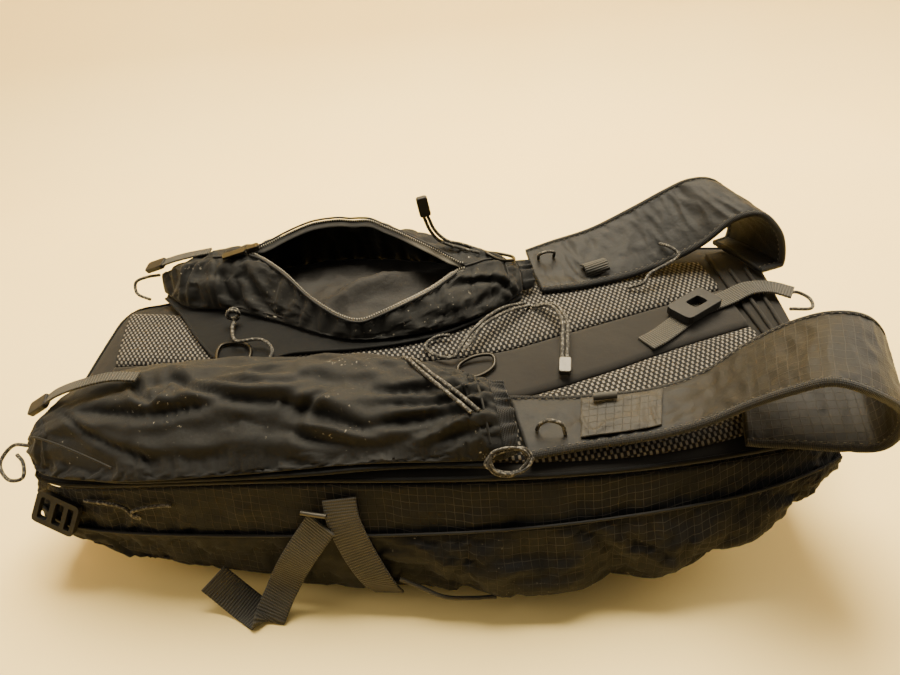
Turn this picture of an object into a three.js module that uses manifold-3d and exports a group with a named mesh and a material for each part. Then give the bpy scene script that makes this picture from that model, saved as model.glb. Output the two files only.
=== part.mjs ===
import * as THREE from "three";
import { mergeVertices } from "three/addons/utils/BufferGeometryUtils.js";
import Module from "manifold-3d";

const wasm = await Module();
wasm.setup();

// Trail running backpack, lying on its front with the back panel up. Lengths are in millimetres.
// X runs along the back toward the neck, Y away from the near side, Z up from the floor.
// Every table below gives its places in hundredths: x of PACK_LENGTH, y of PACK_WIDTH, z of PACK_DEPTH.

// The whole pack
const PACK_LENGTH = 500;
const PACK_WIDTH = 250;
const PACK_DEPTH = 100;

// Cloth, padding and clearances
const SHELL_WALL = 2;
const POCKET_WALL = 1.6;
const PANEL_PAD = 6;
const PANEL_CROWN = 4;
const CHANNEL_PAD = 3;
const STRAP_PAD = 5;
const VEST_PAD = 2.4;
const CHEST_WALL = 1.5;
const GAP = 0.5;
const SHELL_CLEAR = 0.9;
const FRONT_PUFF = 7;

// Webbing, tape, cord and small hardware
const SIDE_WEBBING = 20;
const TOP_WEBBING = 15;
const PULL_WEBBING = 8;
const WEBBING_THICK = 1.5;
const CORD = 2.4;
const PIPING = 2.6;
const WIRE = 2.4;
const ZIP_TAPE = 7;
const ZIP_THICK = 1.2;
const SLIDER_LENGTH = 10;
const SLIDER_WIDTH = 7;
const SLIDER_HEIGHT = 4;
const PULL_LENGTH = 18;
const PULL_WIDTH = 7.5;
const PULL_THICK = 1.6;

// Colours and finishes
const CLOTHS = {
  shell: [0x26231c, 0.85, 0],
  pocket: [0x3e3b33, 0.8, 0],
  panel: [0x57524a, 0.9, 0],
  mesh: [0x615b51, 0.95, 0],
  strap: [0x564f41, 0.9, 0],
  webbing: [0x504b43, 0.85, 0],
  cord: [0x1f1c18, 0.8, 0],
  plastic: [0x1a1815, 0.45, 0],
  metal: [0x9a9388, 0.35, 0.9],
};

// A table: one line of column names, then a row for each section.
function table(names, rows) {
  const keys = names.split(" ");
  return rows.map((row) => Object.fromEntries(keys.map((key, i) => [key, row[i]])));
}

// The value of a column at share s of the rows, on a smooth curve through them.
function curve(rows, column, s) {
  const last = rows.length - 1;
  const at = Math.min(Math.max(s, 0), 1) * last;
  const i = Math.min(Math.floor(at), last - 1);
  const f = at - i;
  const b = rows[i][column];
  const c = rows[i + 1][column];
  const a = i > 0 ? rows[i - 1][column] : 2 * b - c;
  const d = i + 2 <= last ? rows[i + 2][column] : 2 * c - b;
  const slope = (c - a) / 2;
  const slopeNext = (d - b) / 2;
  const f2 = f * f;
  const f3 = f2 * f;
  return (
    b * (2 * f3 - 3 * f2 + 1) +
    c * (3 * f2 - 2 * f3) +
    slope * (f3 - 2 * f2 + f) +
    slopeNext * (f3 - f2)
  );
}

// The share s at which a rising column reaches a value.
function shareAt(rows, column, value) {
  let low = 0;
  let high = 1;
  for (let k = 0; k < 30; k++) {
    const mid = (low + high) / 2;
    if (curve(rows, column, mid) < value) low = mid;
    else high = mid;
  }
  return (low + high) / 2;
}

const mix = (a, b, f) => a + (b - a) * f;
const vec = (x, y, z) => new THREE.Vector3(x, y, z);
const smooth = (f) => {
  const g = Math.min(Math.max(f, 0), 1);
  return g * g * (3 - 2 * g);
};

// Turns the faces out if they face in.
function facingOut(geometry) {
  const p = geometry.getAttribute("position");
  const index = geometry.index.array;
  const a = new THREE.Vector3();
  const b = new THREE.Vector3();
  const c = new THREE.Vector3();
  let volume = 0;
  for (let i = 0; i < index.length; i += 3) {
    a.fromBufferAttribute(p, index[i]);
    b.fromBufferAttribute(p, index[i + 1]);
    c.fromBufferAttribute(p, index[i + 2]);
    volume += a.dot(b.cross(c));
  }
  if (volume < 0) {
    for (let i = 0; i < index.length; i += 3) {
      const kept = index[i + 1];
      index[i + 1] = index[i + 2];
      index[i + 2] = kept;
    }
  }
  return geometry;
}

function meshOf(points, faces) {
  const flat = new Float32Array(points.length * 3);
  points.forEach((p, i) => p.toArray(flat, i * 3));
  const geometry = new THREE.BufferGeometry();
  geometry.setAttribute("position", new THREE.BufferAttribute(flat, 3));
  geometry.setIndex(faces);
  return facingOut(geometry);
}

// A solid through closed rings of equal count: capped at both ends, or joined end to end.
function loft(rings, joined = false) {
  const n = rings[0].length;
  const points = rings.flat();
  const faces = [];
  const spans = joined ? rings.length : rings.length - 1;
  for (let i = 0; i < spans; i++) {
    const next = (i + 1) % rings.length;
    for (let j = 0; j < n; j++) {
      const k = (j + 1) % n;
      faces.push(i * n + j, i * n + k, next * n + k);
      faces.push(i * n + j, next * n + k, next * n + j);
    }
  }
  if (!joined) {
    for (const [row, turned] of [
      [0, false],
      [rings.length - 1, true],
    ]) {
      const centre = vec(0, 0, 0);
      rings[row].forEach((p) => centre.add(p));
      centre.divideScalar(n);
      const tip = points.push(centre) - 1;
      for (let j = 0; j < n; j++) {
        const k = (j + 1) % n;
        if (turned) faces.push(tip, row * n + j, row * n + k);
        else faces.push(tip, row * n + k, row * n + j);
      }
    }
  }
  return meshOf(points, faces);
}

// A sheet of cloth over a surface point(a, b), with a from 0 to 1 along it and b across it.
// low and high are how far its two faces stand from the surface along the normal.
function sheet(point, lengths, widths, low, high) {
  const points = [];
  const step = 1e-3;
  const reach = (f, a, b) => (typeof f === "function" ? f(a, b) : f);
  for (const offset of [high, low]) {
    for (let i = 0; i <= lengths; i++) {
      for (let j = 0; j <= widths; j++) {
        const a = i / lengths;
        const b = j / widths;
        const here = point(a, b);
        const a0 = point(Math.max(a - step, 0), b);
        const a1 = point(Math.min(a + step, 1), b);
        const b0 = point(a, Math.max(b - step, 0));
        const b1 = point(a, Math.min(b + step, 1));
        const normal = a1.sub(a0).cross(b1.sub(b0)).normalize();
        points.push(here.addScaledVector(normal, reach(offset, a, b)));
      }
    }
  }
  const row = widths + 1;
  const under = (lengths + 1) * row;
  const faces = [];
  for (let i = 0; i < lengths; i++) {
    for (let j = 0; j < widths; j++) {
      const p = i * row + j;
      faces.push(p, p + row, p + row + 1, p, p + row + 1, p + 1);
      faces.push(under + p, under + p + row + 1, under + p + row);
      faces.push(under + p, under + p + 1, under + p + row + 1);
    }
  }
  const wall = (p, q) => faces.push(p, q, under + q, p, under + q, under + p);
  for (let i = 0; i < lengths; i++) {
    wall((i + 1) * row, i * row);
    wall(i * row + widths, (i + 1) * row + widths);
  }
  for (let j = 0; j < widths; j++) {
    wall(j, j + 1);
    wall(lengths * row + j + 1, lengths * row + j);
  }
  return meshOf(points, faces);
}

function solid(geometry) {
  const plain = geometry.clone();
  plain.deleteAttribute("normal");
  plain.deleteAttribute("uv");
  const merged = mergeVertices(plain, 1e-4);
  return new wasm.Manifold(
    new wasm.Mesh({
      numProp: 3,
      vertProperties: merged.getAttribute("position").array,
      triVerts: new Uint32Array(merged.index.array),
    }),
  );
}

function geometryOf(manifold) {
  const mesh = manifold.getMesh();
  const geometry = new THREE.BufferGeometry();
  geometry.setAttribute("position", new THREE.BufferAttribute(mesh.vertProperties, 3));
  geometry.setIndex(new THREE.BufferAttribute(mesh.triVerts, 1));
  return geometry;
}

const cut = (a, b) => geometryOf(solid(a).subtract(solid(b)));

const part = new THREE.Group();
part.name = "trail_running_backpack";
const placed = new THREE.Group();
part.add(placed);
const cordNames = [];

function piece(name, geometry, cloth) {
  const [color, roughness, metalness] = CLOTHS[cloth];
  const mesh = new THREE.Mesh(
    geometry,
    new THREE.MeshStandardMaterial({ color, roughness, metalness }),
  );
  mesh.name = name;
  placed.add(mesh);
  if (cloth === "cord") cordNames.push(name);
  return mesh;
}

const X = (share) => (share * PACK_LENGTH) / 100;
const Y = (share) => (share * PACK_WIDTH) / 100;
const Z = (share) => (share * PACK_DEPTH) / 100;

// Hull: the front of the pack, from the waist end to the neck. Each row is a section on a line
// from the near rim to the far rim: the rim heights, the seam height, how far and how high the
// side bulges, and where and how high the keel starts.
const HULL = table(
  "xNear yNear xFar yFar rimNear rimFar seam out outZ keelIn keelZ",
  [
    [-50, -2, -42.4, 60, 70, 92, 60, 3.2, 53, 5, 45],
    [-45.6, -9, -37, 59, 74, 96, 50, 3.2, 39, 8, 32],
    [-38, -15, -30, 57, 80, 100, 48, 2.8, 27, 10, 18],
    [-28, -21, -22, 54, 86, 102, 51, 3.2, 21, 11, 6],
    [-16, -27, -12, 50.5, 90, 104, 56, 4.8, 20, 12, 0],
    [-4, -33, 0, 48, 92, 105, 61, 6, 20, 12, 0],
    [10, -38.5, 13, 46.5, 92, 106, 65, 6.6, 22, 12, 0],
    [24, -42, 27, 45.5, 92, 106, 69, 6, 31, 12, 5],
    [36, -42.5, 40, 45, 91, 107, 73, 6.4, 48, 11, 21],
    [45, -41.5, 50.6, 42.5, 90, 107, 78, 5.6, 64, 10, 44],
    [50.6, -39, 58, 37, 88, 107, 80, 3.6, 77, 8, 62],
  ],
);

// Tucks that pinch the front pocket below its near seam: place along, width and share pinched.
const TUCKS = table("x width pinch", [
  [-3, 3, 0.9],
  [3.5, 2.4, 0.5],
  [21, 3.4, 0.85],
  [34, 2.6, 0.4],
]);

// How far the near side of the front pocket puffs out at x, in mm.
function puffAt(x) {
  const share = (100 * x) / PACK_LENGTH;
  const reach = smooth((share + 6) / 10) * smooth((46 - share) / 12);
  let kept = 1;
  for (const tuck of TUCKS) {
    kept *= 1 - tuck.pinch * Math.exp(-(((share - tuck.x) / tuck.width) ** 2));
  }
  return FRONT_PUFF * reach * kept;
}

// The line of a section from the near rim to the far rim.
function stationLine(u) {
  const near = vec(X(curve(HULL, "xNear", u)), Y(curve(HULL, "yNear", u)), 0);
  const far = vec(X(curve(HULL, "xFar", u)), Y(curve(HULL, "yFar", u)), 0);
  const span = near.distanceTo(far);
  return { near, far, span };
}

// A point of a section: s mm from the near rim, at height z.
function stationPoint(line, s, z) {
  const p = line.near.clone().lerp(line.far, s / line.span);
  p.z = z;
  return p;
}

// The section of the hull from the near rim round the belly to the far rim, as [s, z] pairs.
const WALL_STEPS = 2;
const TURN_STEPS = 3;
const KEEL_STEPS = 3;
function hullSection(u, puffed) {
  const line = stationLine(u);
  const rimNear = Z(curve(HULL, "rimNear", u));
  const rimFar = Z(curve(HULL, "rimFar", u));
  const seam = Z(curve(HULL, "seam", u));
  const out = Y(curve(HULL, "out", u));
  const outZ = Z(curve(HULL, "outZ", u));
  const keelIn = Y(curve(HULL, "keelIn", u));
  const keelZ = Math.max(Z(curve(HULL, "keelZ", u)), 0);
  const puff = puffed ? puffAt(line.near.x) : 0;
  const list = [];
  const side = (rim, swell, extra, at) => {
    const seamShare = (rim - seam) / (rim - outZ);
    const places = [];
    for (let k = 0; k < WALL_STEPS; k++) places.push((seamShare * k) / WALL_STEPS);
    for (let k = 0; k < WALL_STEPS; k++) {
      places.push(mix(seamShare, 1, k / WALL_STEPS));
    }
    return places.map((b) => {
      const below = smooth((b - seamShare) / (1 - seamShare));
      const s = swell * Math.sin((b * Math.PI) / 2) + extra * below;
      return [at(s), mix(rim, outZ, b)];
    });
  };
  const turn = (swell, at) => {
    const places = [];
    for (let k = 0; k < TURN_STEPS; k++) {
      const a = ((k / TURN_STEPS) * Math.PI) / 2;
      const s = swell - (keelIn + swell) * (1 - Math.cos(a));
      places.push([at(s), mix(outZ, keelZ, Math.sin(a))]);
    }
    return places;
  };
  const nearSide = (s) => -s;
  const farSide = (s) => line.span + s;
  list.push(...side(rimNear, out, puff, nearSide), ...turn(out + puff, nearSide));
  for (let k = 0; k <= KEEL_STEPS; k++) {
    list.push([mix(keelIn, line.span - keelIn, k / KEEL_STEPS), keelZ]);
  }
  const farOut = out * 0.7;
  const farList = [...side(rimFar, farOut, 0, farSide), ...turn(farOut, farSide)];
  list.push(...farList.reverse());
  return { line, list, rimNear, rimFar };
}

// A closed ring of [s, z] pairs moved inward by d.
function inset(ring, d) {
  const n = ring.length;
  let area = 0;
  ring.forEach(([s, z], i) => {
    const [s2, z2] = ring[(i + 1) % n];
    area += s * z2 - s2 * z;
  });
  const turn = Math.sign(area);
  return ring.map(([s, z], i) => {
    const [s0, z0] = ring[(i + n - 1) % n];
    const [s1, z1] = ring[(i + 1) % n];
    const before = new THREE.Vector2(s - s0, z - z0).normalize();
    const after = new THREE.Vector2(s1 - s, z1 - z).normalize();
    const normal = new THREE.Vector2(-(before.y + after.y), before.x + after.x).normalize();
    const lean = Math.max(normal.dot(new THREE.Vector2(-after.y, after.x)), 0.6);
    return [s + (turn * normal.x * d) / lean, z + (turn * normal.y * d) / lean];
  });
}

// Stations along the hull: the same ones for every layer, but for the ends pulled in by d.
const HULL_STATIONS = 13;
const END_SLOPE = 1.5;
function stations(d) {
  const list = [];
  for (let i = 0; i <= HULL_STATIONS; i++) list.push(i / HULL_STATIONS);
  list[0] = (END_SLOPE * d) / X(HULL[1].xNear - HULL[0].xNear) / (HULL.length - 1);
  const before = HULL[HULL.length - 2];
  const end = HULL[HULL.length - 1];
  list[HULL_STATIONS] = 1 - (END_SLOPE * d) / X(end.xNear - before.xNear) / (HULL.length - 1);
  return list;
}

// The hull inside its skin by d, from one count of the section to another, with its top
// raised by lift: a solid used to build and to hollow the walls.
function hullSolid(d, puffed, from, to, lift) {
  const rings = stations(d).map((u) => {
    const { line, list } = hullSection(u, puffed);
    const moved = d > 0 ? inset(list, d) : list;
    const ends = [list[0], list[list.length - 1]];
    moved[0] = [ends[0][0] + d, ends[0][1]];
    moved[moved.length - 1] = [ends[1][0] - d, ends[1][1]];
    const kept = moved.slice(from, to === 0 ? undefined : -to);
    if (lift > 0) {
      const [s0, z0] = kept[0];
      const [s1, z1] = kept[kept.length - 1];
      kept.unshift([s0, z0 + lift]);
      kept.push([s1, z1 + lift]);
    }
    return kept.map(([s, z]) => stationPoint(line, s, z));
  });
  return loft(rings);
}

// Shell: the ripstop body of the pack, an open tub under the back panel.
const SHELL_INSET = POCKET_WALL + SHELL_CLEAR;
piece(
  "pack_shell",
  cut(
    hullSolid(SHELL_INSET, false, 0, 0, 0),
    hullSolid(SHELL_INSET + SHELL_WALL, false, 0, 0, 6),
  ),
  "shell",
);

// Front pocket: the stretch cloth round the belly, from the near seam to the far seam.
piece(
  "front_pocket",
  cut(
    hullSolid(0, true, WALL_STEPS, WALL_STEPS, 0),
    hullSolid(POCKET_WALL, true, WALL_STEPS, WALL_STEPS, 12),
  ),
  "pocket",
);

// Back panel: a padded slab on the rim, thinner at its edges and crowned in the middle.
function rimHeight(u, t) {
  return mix(Z(curve(HULL, "rimNear", u)), Z(curve(HULL, "rimFar", u)), t);
}
function panelRise(t) {
  const edge = Math.abs(2 * t - 1);
  return GAP + PANEL_PAD * (1 - 0.5 * edge ** 6) + PANEL_CROWN * (1 - edge * edge);
}
function deckPoint(u, t, rise) {
  const line = stationLine(u);
  return stationPoint(line, t * line.span, rimHeight(u, t) + rise);
}
const PANEL_ENDS = 0.012;
piece(
  "back_panel",
  sheet(
    (a, b) => deckPoint(mix(PANEL_ENDS, 1 - PANEL_ENDS, a), mix(0.015, 0.985, b), GAP),
    14,
    6,
    0,
    (a, b) => panelRise(mix(0.015, 0.985, b)) - GAP,
  ),
  "panel",
);

// The top of the back panel at a place.
function deckTop(x, y) {
  let low = 0;
  let high = 1;
  let t = 0;
  for (let k = 0; k < 26; k++) {
    const u = (low + high) / 2;
    const line = stationLine(u);
    t = (y - line.near.y) / (line.far.y - line.near.y);
    t = Math.min(Math.max(t, 0), 1);
    if (mix(line.near.x, line.far.x, t) < x) low = u;
    else high = u;
  }
  return rimHeight((low + high) / 2, t) + panelRise(t);
}

// The top of the cloth laid on the back panel.
const LAYER = GAP + CHANNEL_PAD;
const layerTop = (x, y) => deckTop(x, y) + LAYER;

// Lines on the back panel: outer edges of the two mesh channels and of the band between them.
const DECK_LINES = table("x near midNear midFar far", [
  [-41, -4, 13, 28, 55],
  [-28, -15, -1, 19, 42],
  [-14.5, -22, -8, 8, 34],
  [-1, -29, -13, 4, 31],
  [12, -35, -16, 2, 31],
  [24, -38.5, -12.5, 6, 33],
  [36, -38, -7, 10.5, 34],
  [47.5, -33, -2.5, 15, 31],
]);
function deckStrip(nearColumn, farColumn, across) {
  const point = (a, b) => {
    const x = X(curve(DECK_LINES, "x", a));
    const near = Y(curve(DECK_LINES, nearColumn, a)) + GAP;
    const far = Y(curve(DECK_LINES, farColumn, a)) - GAP;
    const y = mix(near, far, b);
    return vec(x, y, deckTop(x, y));
  };
  return sheet(point, 14, across, GAP, LAYER);
}
piece("mesh_channel_near", deckStrip("near", "midNear", 3), "mesh");
piece("centre_band", deckStrip("midNear", "midFar", 2), "panel");
piece("mesh_channel_far", deckStrip("midFar", "far", 3), "mesh");

// Neck yoke: smooth cloth from the ends of the channels to the neck edge.
const YOKE = table("y x0 x1", [
  [-35, 48.3, 50.4],
  [-22, 48.4, 51.6],
  [-8, 48.6, 52.9],
  [8, 48.8, 54.4],
  [22, 49.2, 55.7],
  [34, 49.8, 56.8],
]);
const yokePoint = (a, b) => {
  const x = X(mix(curve(YOKE, "x0", a), curve(YOKE, "x1", a), b));
  const y = Y(curve(YOKE, "y", a));
  return vec(x, y, deckTop(x, y));
};
piece(
  "neck_yoke",
  sheet((a, b) => yokePoint(a, 1 - b), 10, 2, GAP, LAYER),
  "panel",
);

// A tube of cord through hand-chosen places, closed by flat ends.
function tube(places, diameter, steps) {
  const path = new THREE.CatmullRomCurve3(places, false, "centripetal");
  const round = new THREE.Shape();
  round.absarc(0, 0, diameter / 2, 0, 2 * Math.PI, false);
  return new THREE.ExtrudeGeometry(round, {
    steps,
    curveSegments: 4,
    bevelEnabled: false,
    extrudePath: path,
  });
}

// A closed loop of wire or cord through places, its section turned with the path.
function ring(places, diameter, steps, sides = 6) {
  const path = new THREE.CatmullRomCurve3(places, true, "centripetal");
  const frames = path.computeFrenetFrames(steps, true);
  const rings = [];
  for (let i = 0; i < steps; i++) {
    const at = path.getPointAt(i / steps);
    const circle = [];
    for (let j = 0; j < sides; j++) {
      const angle = (2 * Math.PI * j) / sides;
      circle.push(
        at
          .clone()
          .addScaledVector(frames.normals[i], (Math.cos(angle) * diameter) / 2)
          .addScaledVector(frames.binormals[i], (Math.sin(angle) * diameter) / 2),
      );
    }
    rings.push(circle);
  }
  return loft(rings, true);
}

// A place on the cloth of the back, lift mm above it.
function onDeck(x, y, lift) {
  const at = vec(X(x), Y(y), 0);
  at.z = layerTop(at.x, at.y) + lift;
  return at;
}

// Piping: two raised rolls across the yoke.
for (const [i, share] of [0.25, 0.62].entries()) {
  const places = [];
  for (let k = 0; k <= 6; k++) {
    const p = yokePoint(mix(0.2, 0.8, k / 6), share);
    p.z += LAYER + GAP + PIPING / 2;
    places.push(p);
  }
  piece("yoke_piping_" + (i + 1), tube(places, PIPING, 8), "panel");
}

// A band between two edges given row by row, resting on the back where it meets it.
function bandPoint(rows, a, b, half) {
  const x = X(mix(curve(rows, "xa", a), curve(rows, "xb", a), b));
  const y = Y(mix(curve(rows, "ya", a), curve(rows, "yb", a), b));
  const z = Z(mix(curve(rows, "za", a), curve(rows, "zb", a), b));
  const overPiping = (PIPING + GAP) * smooth((x - X(46)) / X(2));
  return vec(x, y, Math.max(z, layerTop(x, y) + GAP + half + overPiping));
}

// Near shoulder strap: from the chest end over the arch, round the fold and back to the neck.
const STRAP_NEAR = table("xa ya za xb yb zb", [
  [11.8, -17, 109, 11.8, -36, 105],
  [20.6, -21, 112, 18, -36.8, 108],
  [29.2, -24, 116, 26, -39, 113],
  [35.2, -24, 123, 31.2, -41.6, 124],
  [40, -23.4, 137, 34.8, -45, 141],
  [43.8, -26.4, 155, 37.4, -50, 159],
  [46.6, -31.4, 169, 39.8, -54.4, 171],
  [50.2, -33.6, 168, 43.8, -56.8, 164],
  [53.6, -32.8, 152, 48.2, -55.6, 146],
  [55.4, -30.6, 131, 50.4, -53.6, 124],
  [54.4, -28, 114, 50.2, -50.8, 106],
  [50.4, -25.6, 110, 46.8, -47.4, 101],
  [45, -25, 108, 42, -44.2, 101],
  [40, -26.4, 106, 37, -41.4, 101],
]);
const padShape = (a, b) => 0.6 + 0.4 * (1 - Math.abs(2 * b - 1) ** 4);
const STRAP_HALF = STRAP_PAD / 2;
function strap(rows, lengths) {
  return sheet(
    (a, b) => bandPoint(rows, a, b, STRAP_HALF),
    lengths,
    4,
    (a, b) => -STRAP_HALF * padShape(a, b),
    (a, b) => STRAP_HALF * padShape(a, b),
  );
}
piece("shoulder_strap_near", strap(STRAP_NEAR, 26), "strap");

// Far shoulder strap: edge a is the outer one, away from the near side.
const STRAP_FAR = table("xa ya za xb yb zb", [
  [21.8, 43.6, 126, 21.8, 24, 114],
  [26, 44.4, 130, 27.4, 23.4, 115],
  [32.4, 44.4, 137, 34, 24.6, 118],
  [39, 44.8, 150, 41, 25.4, 125],
  [44.4, 45, 162, 46.4, 24.8, 138],
  [47.6, 44, 169, 50.6, 24, 156],
  [50.6, 42.4, 169, 54, 21.4, 161],
  [53, 41.4, 159, 56.6, 19, 149],
  [54.6, 40.6, 141, 58, 18.6, 131],
  [54.4, 39, 122, 57.6, 18, 118],
  [51.6, 36.6, 114, 54.2, 16.6, 113],
]);
piece("shoulder_strap_far", strap(STRAP_FAR, 20), "strap");

// Chest panels: the thin mesh-lined fronts of the vest, laid back over the pack.
const VEST_NEAR = table("x near far", [
  [-47.6, -5, 4],
  [-43, -10, 11],
  [-36, -16.6, 12],
  [-26, -22.4, 8],
  [-14, -27.6, 1.6],
  [-2, -31.6, -5.6],
  [7, -35.4, -13.6],
]);
const VEST_FAR = table("x near far", [
  [-35.5, 56, 63],
  [-32, 43, 63],
  [-28.6, 28, 62],
  [-25, 16, 60],
  [-21.4, 10.6, 59.6],
  [-16, 13.6, 58],
  [-8, 11, 55.6],
  [3, 10, 50.4],
  [12, 15.4, 44],
  [18.6, 23, 42],
]);
const VEST_HALF = VEST_PAD / 2;
const VEST_SEAT = 0.8;
function vestPoint(rows, a, b) {
  const x = X(curve(rows, "x", a));
  const y = Y(mix(curve(rows, "near", a), curve(rows, "far", a), b));
  return vec(x, y, layerTop(x, y) + VEST_SEAT + VEST_HALF);
}
function vest(rows) {
  return sheet((a, b) => vestPoint(rows, a, b), 10, 3, -VEST_HALF, VEST_HALF);
}
piece("chest_panel_near", vest(VEST_NEAR), "mesh");
piece("chest_panel_far", vest(VEST_FAR), "mesh");
const vestTop = (x, y) => layerTop(x, y) + VEST_SEAT + VEST_PAD;

// Chest pockets: bags on the chest panels. Each row is a section from the near edge to the far
// edge: its height, where its crest lies across it, and how full its shoulders are.
const BOTTLE_POCKET = table("x near far high crest full", [
  [-49.6, 0, 5, 8, 0.5, 0.6],
  [-47, -7, 10, 22, 0.5, 0.6],
  [-41, -13.6, 14, 27, 0.52, 0.6],
  [-32, -20, 13, 28, 0.55, 0.55],
  [-20, -25, 8, 27, 0.55, 0.55],
  [-8, -29, 2, 25, 0.55, 0.5],
  [2, -33, -5, 22, 0.5, 0.5],
  [9, -35.4, -12.6, 19, 0.5, 0.5],
]);
const ZIP_POCKET = table("x near far high crest full", [
  [-36, 60, 66, 12, 0.5, 0.6],
  [-31, 45, 64, 26, 0.5, 0.6],
  [-24.4, 38.6, 61.6, 32, 0.62, 0.6],
  [-17, 28, 60, 36, 0.78, 0.6],
  [-10, 17, 60.4, 43, 0.88, 0.62],
  [-3.6, 12, 58.4, 44, 0.88, 0.62],
  [5.4, 12, 51, 34, 0.8, 0.6],
  [14, 17.4, 43.4, 23, 0.6, 0.55],
  [19, 24.6, 38, 13, 0.5, 0.5],
]);

// Folds along a pocket: first and last place, share across at each, depth and half width in mm.
const BOTTLE_FOLDS = table("x0 x1 v0 v1 deep half", [
  [-44, -14, 0.55, 0.62, 5, 7],
  [-20, 6, 0.6, 0.4, 5, 7],
  [-36, -6, 0.78, 0.8, 3.5, 6],
  [-34, 4, 0.26, 0.16, 4, 6],
  [-8, 8, 0.68, 0.7, 3.5, 5],
]);
const ZIP_FOLDS = table("x0 x1 v0 v1 deep half", [
  [-31, -20, 0.3, 0.26, 4, 5],
  [-27, -14, 0.1, 0.1, 3, 5],
  [10, 19, 0.75, 0.7, 2.5, 5],
]);
const BAG_STEPS = 10;
const BAG_SEAT = 0.9;
function bagSection(rows, folds, a) {
  const x = X(curve(rows, "x", a));
  const near = Y(curve(rows, "near", a));
  const far = Y(curve(rows, "far", a));
  const high = Z(curve(rows, "high", a));
  const crest = curve(rows, "crest", a);
  const full = curve(rows, "full", a);
  const share = (100 * x) / PACK_LENGTH;
  const ring = [];
  const base = (y) => vestTop(x, y) + BAG_SEAT;
  for (let k = 0; k <= BAG_STEPS; k++) {
    const v = (1 - Math.cos((Math.PI * k) / BAG_STEPS)) / 2;
    const y = mix(near, far, v);
    const w = v < crest ? (0.5 * v) / crest : 0.5 + (0.5 * (v - crest)) / (1 - crest);
    let rise = high * Math.sin(Math.PI * w) ** full;
    for (const fold of folds) {
      const g = (share - fold.x0) / (fold.x1 - fold.x0);
      if (g <= 0 || g >= 1) continue;
      const away = (v - mix(fold.v0, fold.v1, g)) * (far - near);
      const deep = fold.deep * Math.sin(Math.PI * g) ** 0.6;
      rise -= deep * Math.exp(-((away / fold.half) ** 2)) * Math.min(1, rise / 12);
    }
    ring.push([y, base(y) + 1 + rise]);
  }
  for (let k = 6; k >= 0; k--) {
    const y = mix(near, far, k / 6);
    ring.push([y, base(y)]);
  }
  return { x, ring };
}
function bagSolid(rows, folds, d, from, to, count) {
  const rings = [];
  for (let i = 0; i <= count; i++) {
    const { x, ring: flat } = bagSection(rows, folds, mix(from, to, i / count));
    const moved = d > 0 ? inset(flat, d) : flat;
    rings.push(moved.map(([y, z]) => vec(x, y, z)));
  }
  return rings;
}

// Bottle pocket: open at the end toward the neck.
const bottleInner = bagSolid(BOTTLE_POCKET, BOTTLE_FOLDS, CHEST_WALL, 0.05, 1, 10);
const mouth = bottleInner[bottleInner.length - 1].map((p) => p.clone().add(vec(5, 0, 0)));
bottleInner.push(mouth);
piece(
  "bottle_pocket",
  cut(loft(bagSolid(BOTTLE_POCKET, BOTTLE_FOLDS, 0, 0, 1, 11)), loft(bottleInner)),
  "pocket",
);

// Bottle pocket hem: the gathered elastic edge of the mouth, with its ruffles.
const HEM_LENGTH = 9;
const HEM_RUFFLES = 5;
function hemRings(rows, folds, at, grow, wave) {
  const { ring: flat } = bagSection(rows, folds, 1);
  const top = flat.slice(0, BAG_STEPS + 1);
  const dense = [];
  for (let k = 0; k <= BAG_STEPS * 2; k++) {
    const i = Math.min(Math.floor(k / 2), BAG_STEPS - 1);
    const f = k / 2 - i;
    dense.push([mix(top[i][0], top[i + 1][0], f), mix(top[i][1], top[i + 1][1], f)]);
  }
  const base = dense[0][1];
  return dense.map(([y, z], k) => {
    const ruffle = wave * Math.sin((Math.PI * k * HEM_RUFFLES) / BAG_STEPS);
    const middle = (dense[0][0] + dense[dense.length - 1][0]) / 2;
    return vec(at, middle + (y - middle) * grow, base + (z - base) * grow + ruffle);
  });
}
const hemPoint = (rows, folds, start, direction) => (a, b) => {
  const count = BAG_STEPS * 2;
  const line = hemRings(
    rows,
    folds,
    start + direction * HEM_LENGTH * a,
    1 - 0.12 * a,
    0.9 * (0.3 + a),
  );
  const at = Math.min(b * count, count - 1e-6);
  const i = Math.floor(at);
  return line[i].clone().lerp(line[i + 1], at - i);
};
const bottleMouthX = X(BOTTLE_POCKET[BOTTLE_POCKET.length - 1].x);
piece(
  "bottle_pocket_hem",
  sheet(hemPoint(BOTTLE_POCKET, BOTTLE_FOLDS, bottleMouthX + 2 * GAP, 1), 2, BAG_STEPS * 2, -2, 0),
  "pocket",
);

// Zipped pocket: a bag whose top gapes along the open zip.
const LIPS = table("x low high", [
  [-19.8, 47.4, 49],
  [-15.6, 37, 53.4],
  [-11.3, 24.6, 56],
  [-6.6, 16.4, 56.4],
  [-2.4, 15.6, 53],
  [4.6, 19.6, 38.6],
  [10, 26, 28],
]);
const LIP_CLEAR = 0.9;
const LIP_STEPS = 14;
function lensOutline() {
  const low = [];
  const high = [];
  for (let k = 0; k <= LIP_STEPS; k++) {
    const a = k / LIP_STEPS;
    low.push(new THREE.Vector2(X(curve(LIPS, "x", a)), Y(curve(LIPS, "low", a))));
    high.push(new THREE.Vector2(X(curve(LIPS, "x", a)), Y(curve(LIPS, "high", a))));
  }
  return [...low, ...high.reverse()];
}
const zipInner = loft(bagSolid(ZIP_POCKET, ZIP_FOLDS, CHEST_WALL, 0.06, 0.95, 10));
const lens = new THREE.ExtrudeGeometry(new THREE.Shape(lensOutline()), {
  depth: 120,
  bevelEnabled: false,
});
lens.translate(0, 0, vestTop(X(-5), Y(30)) + CHEST_WALL + 1.5);
const zipOuter = loft(bagSolid(ZIP_POCKET, ZIP_FOLDS, 0, 0, 1, 11));
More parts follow.
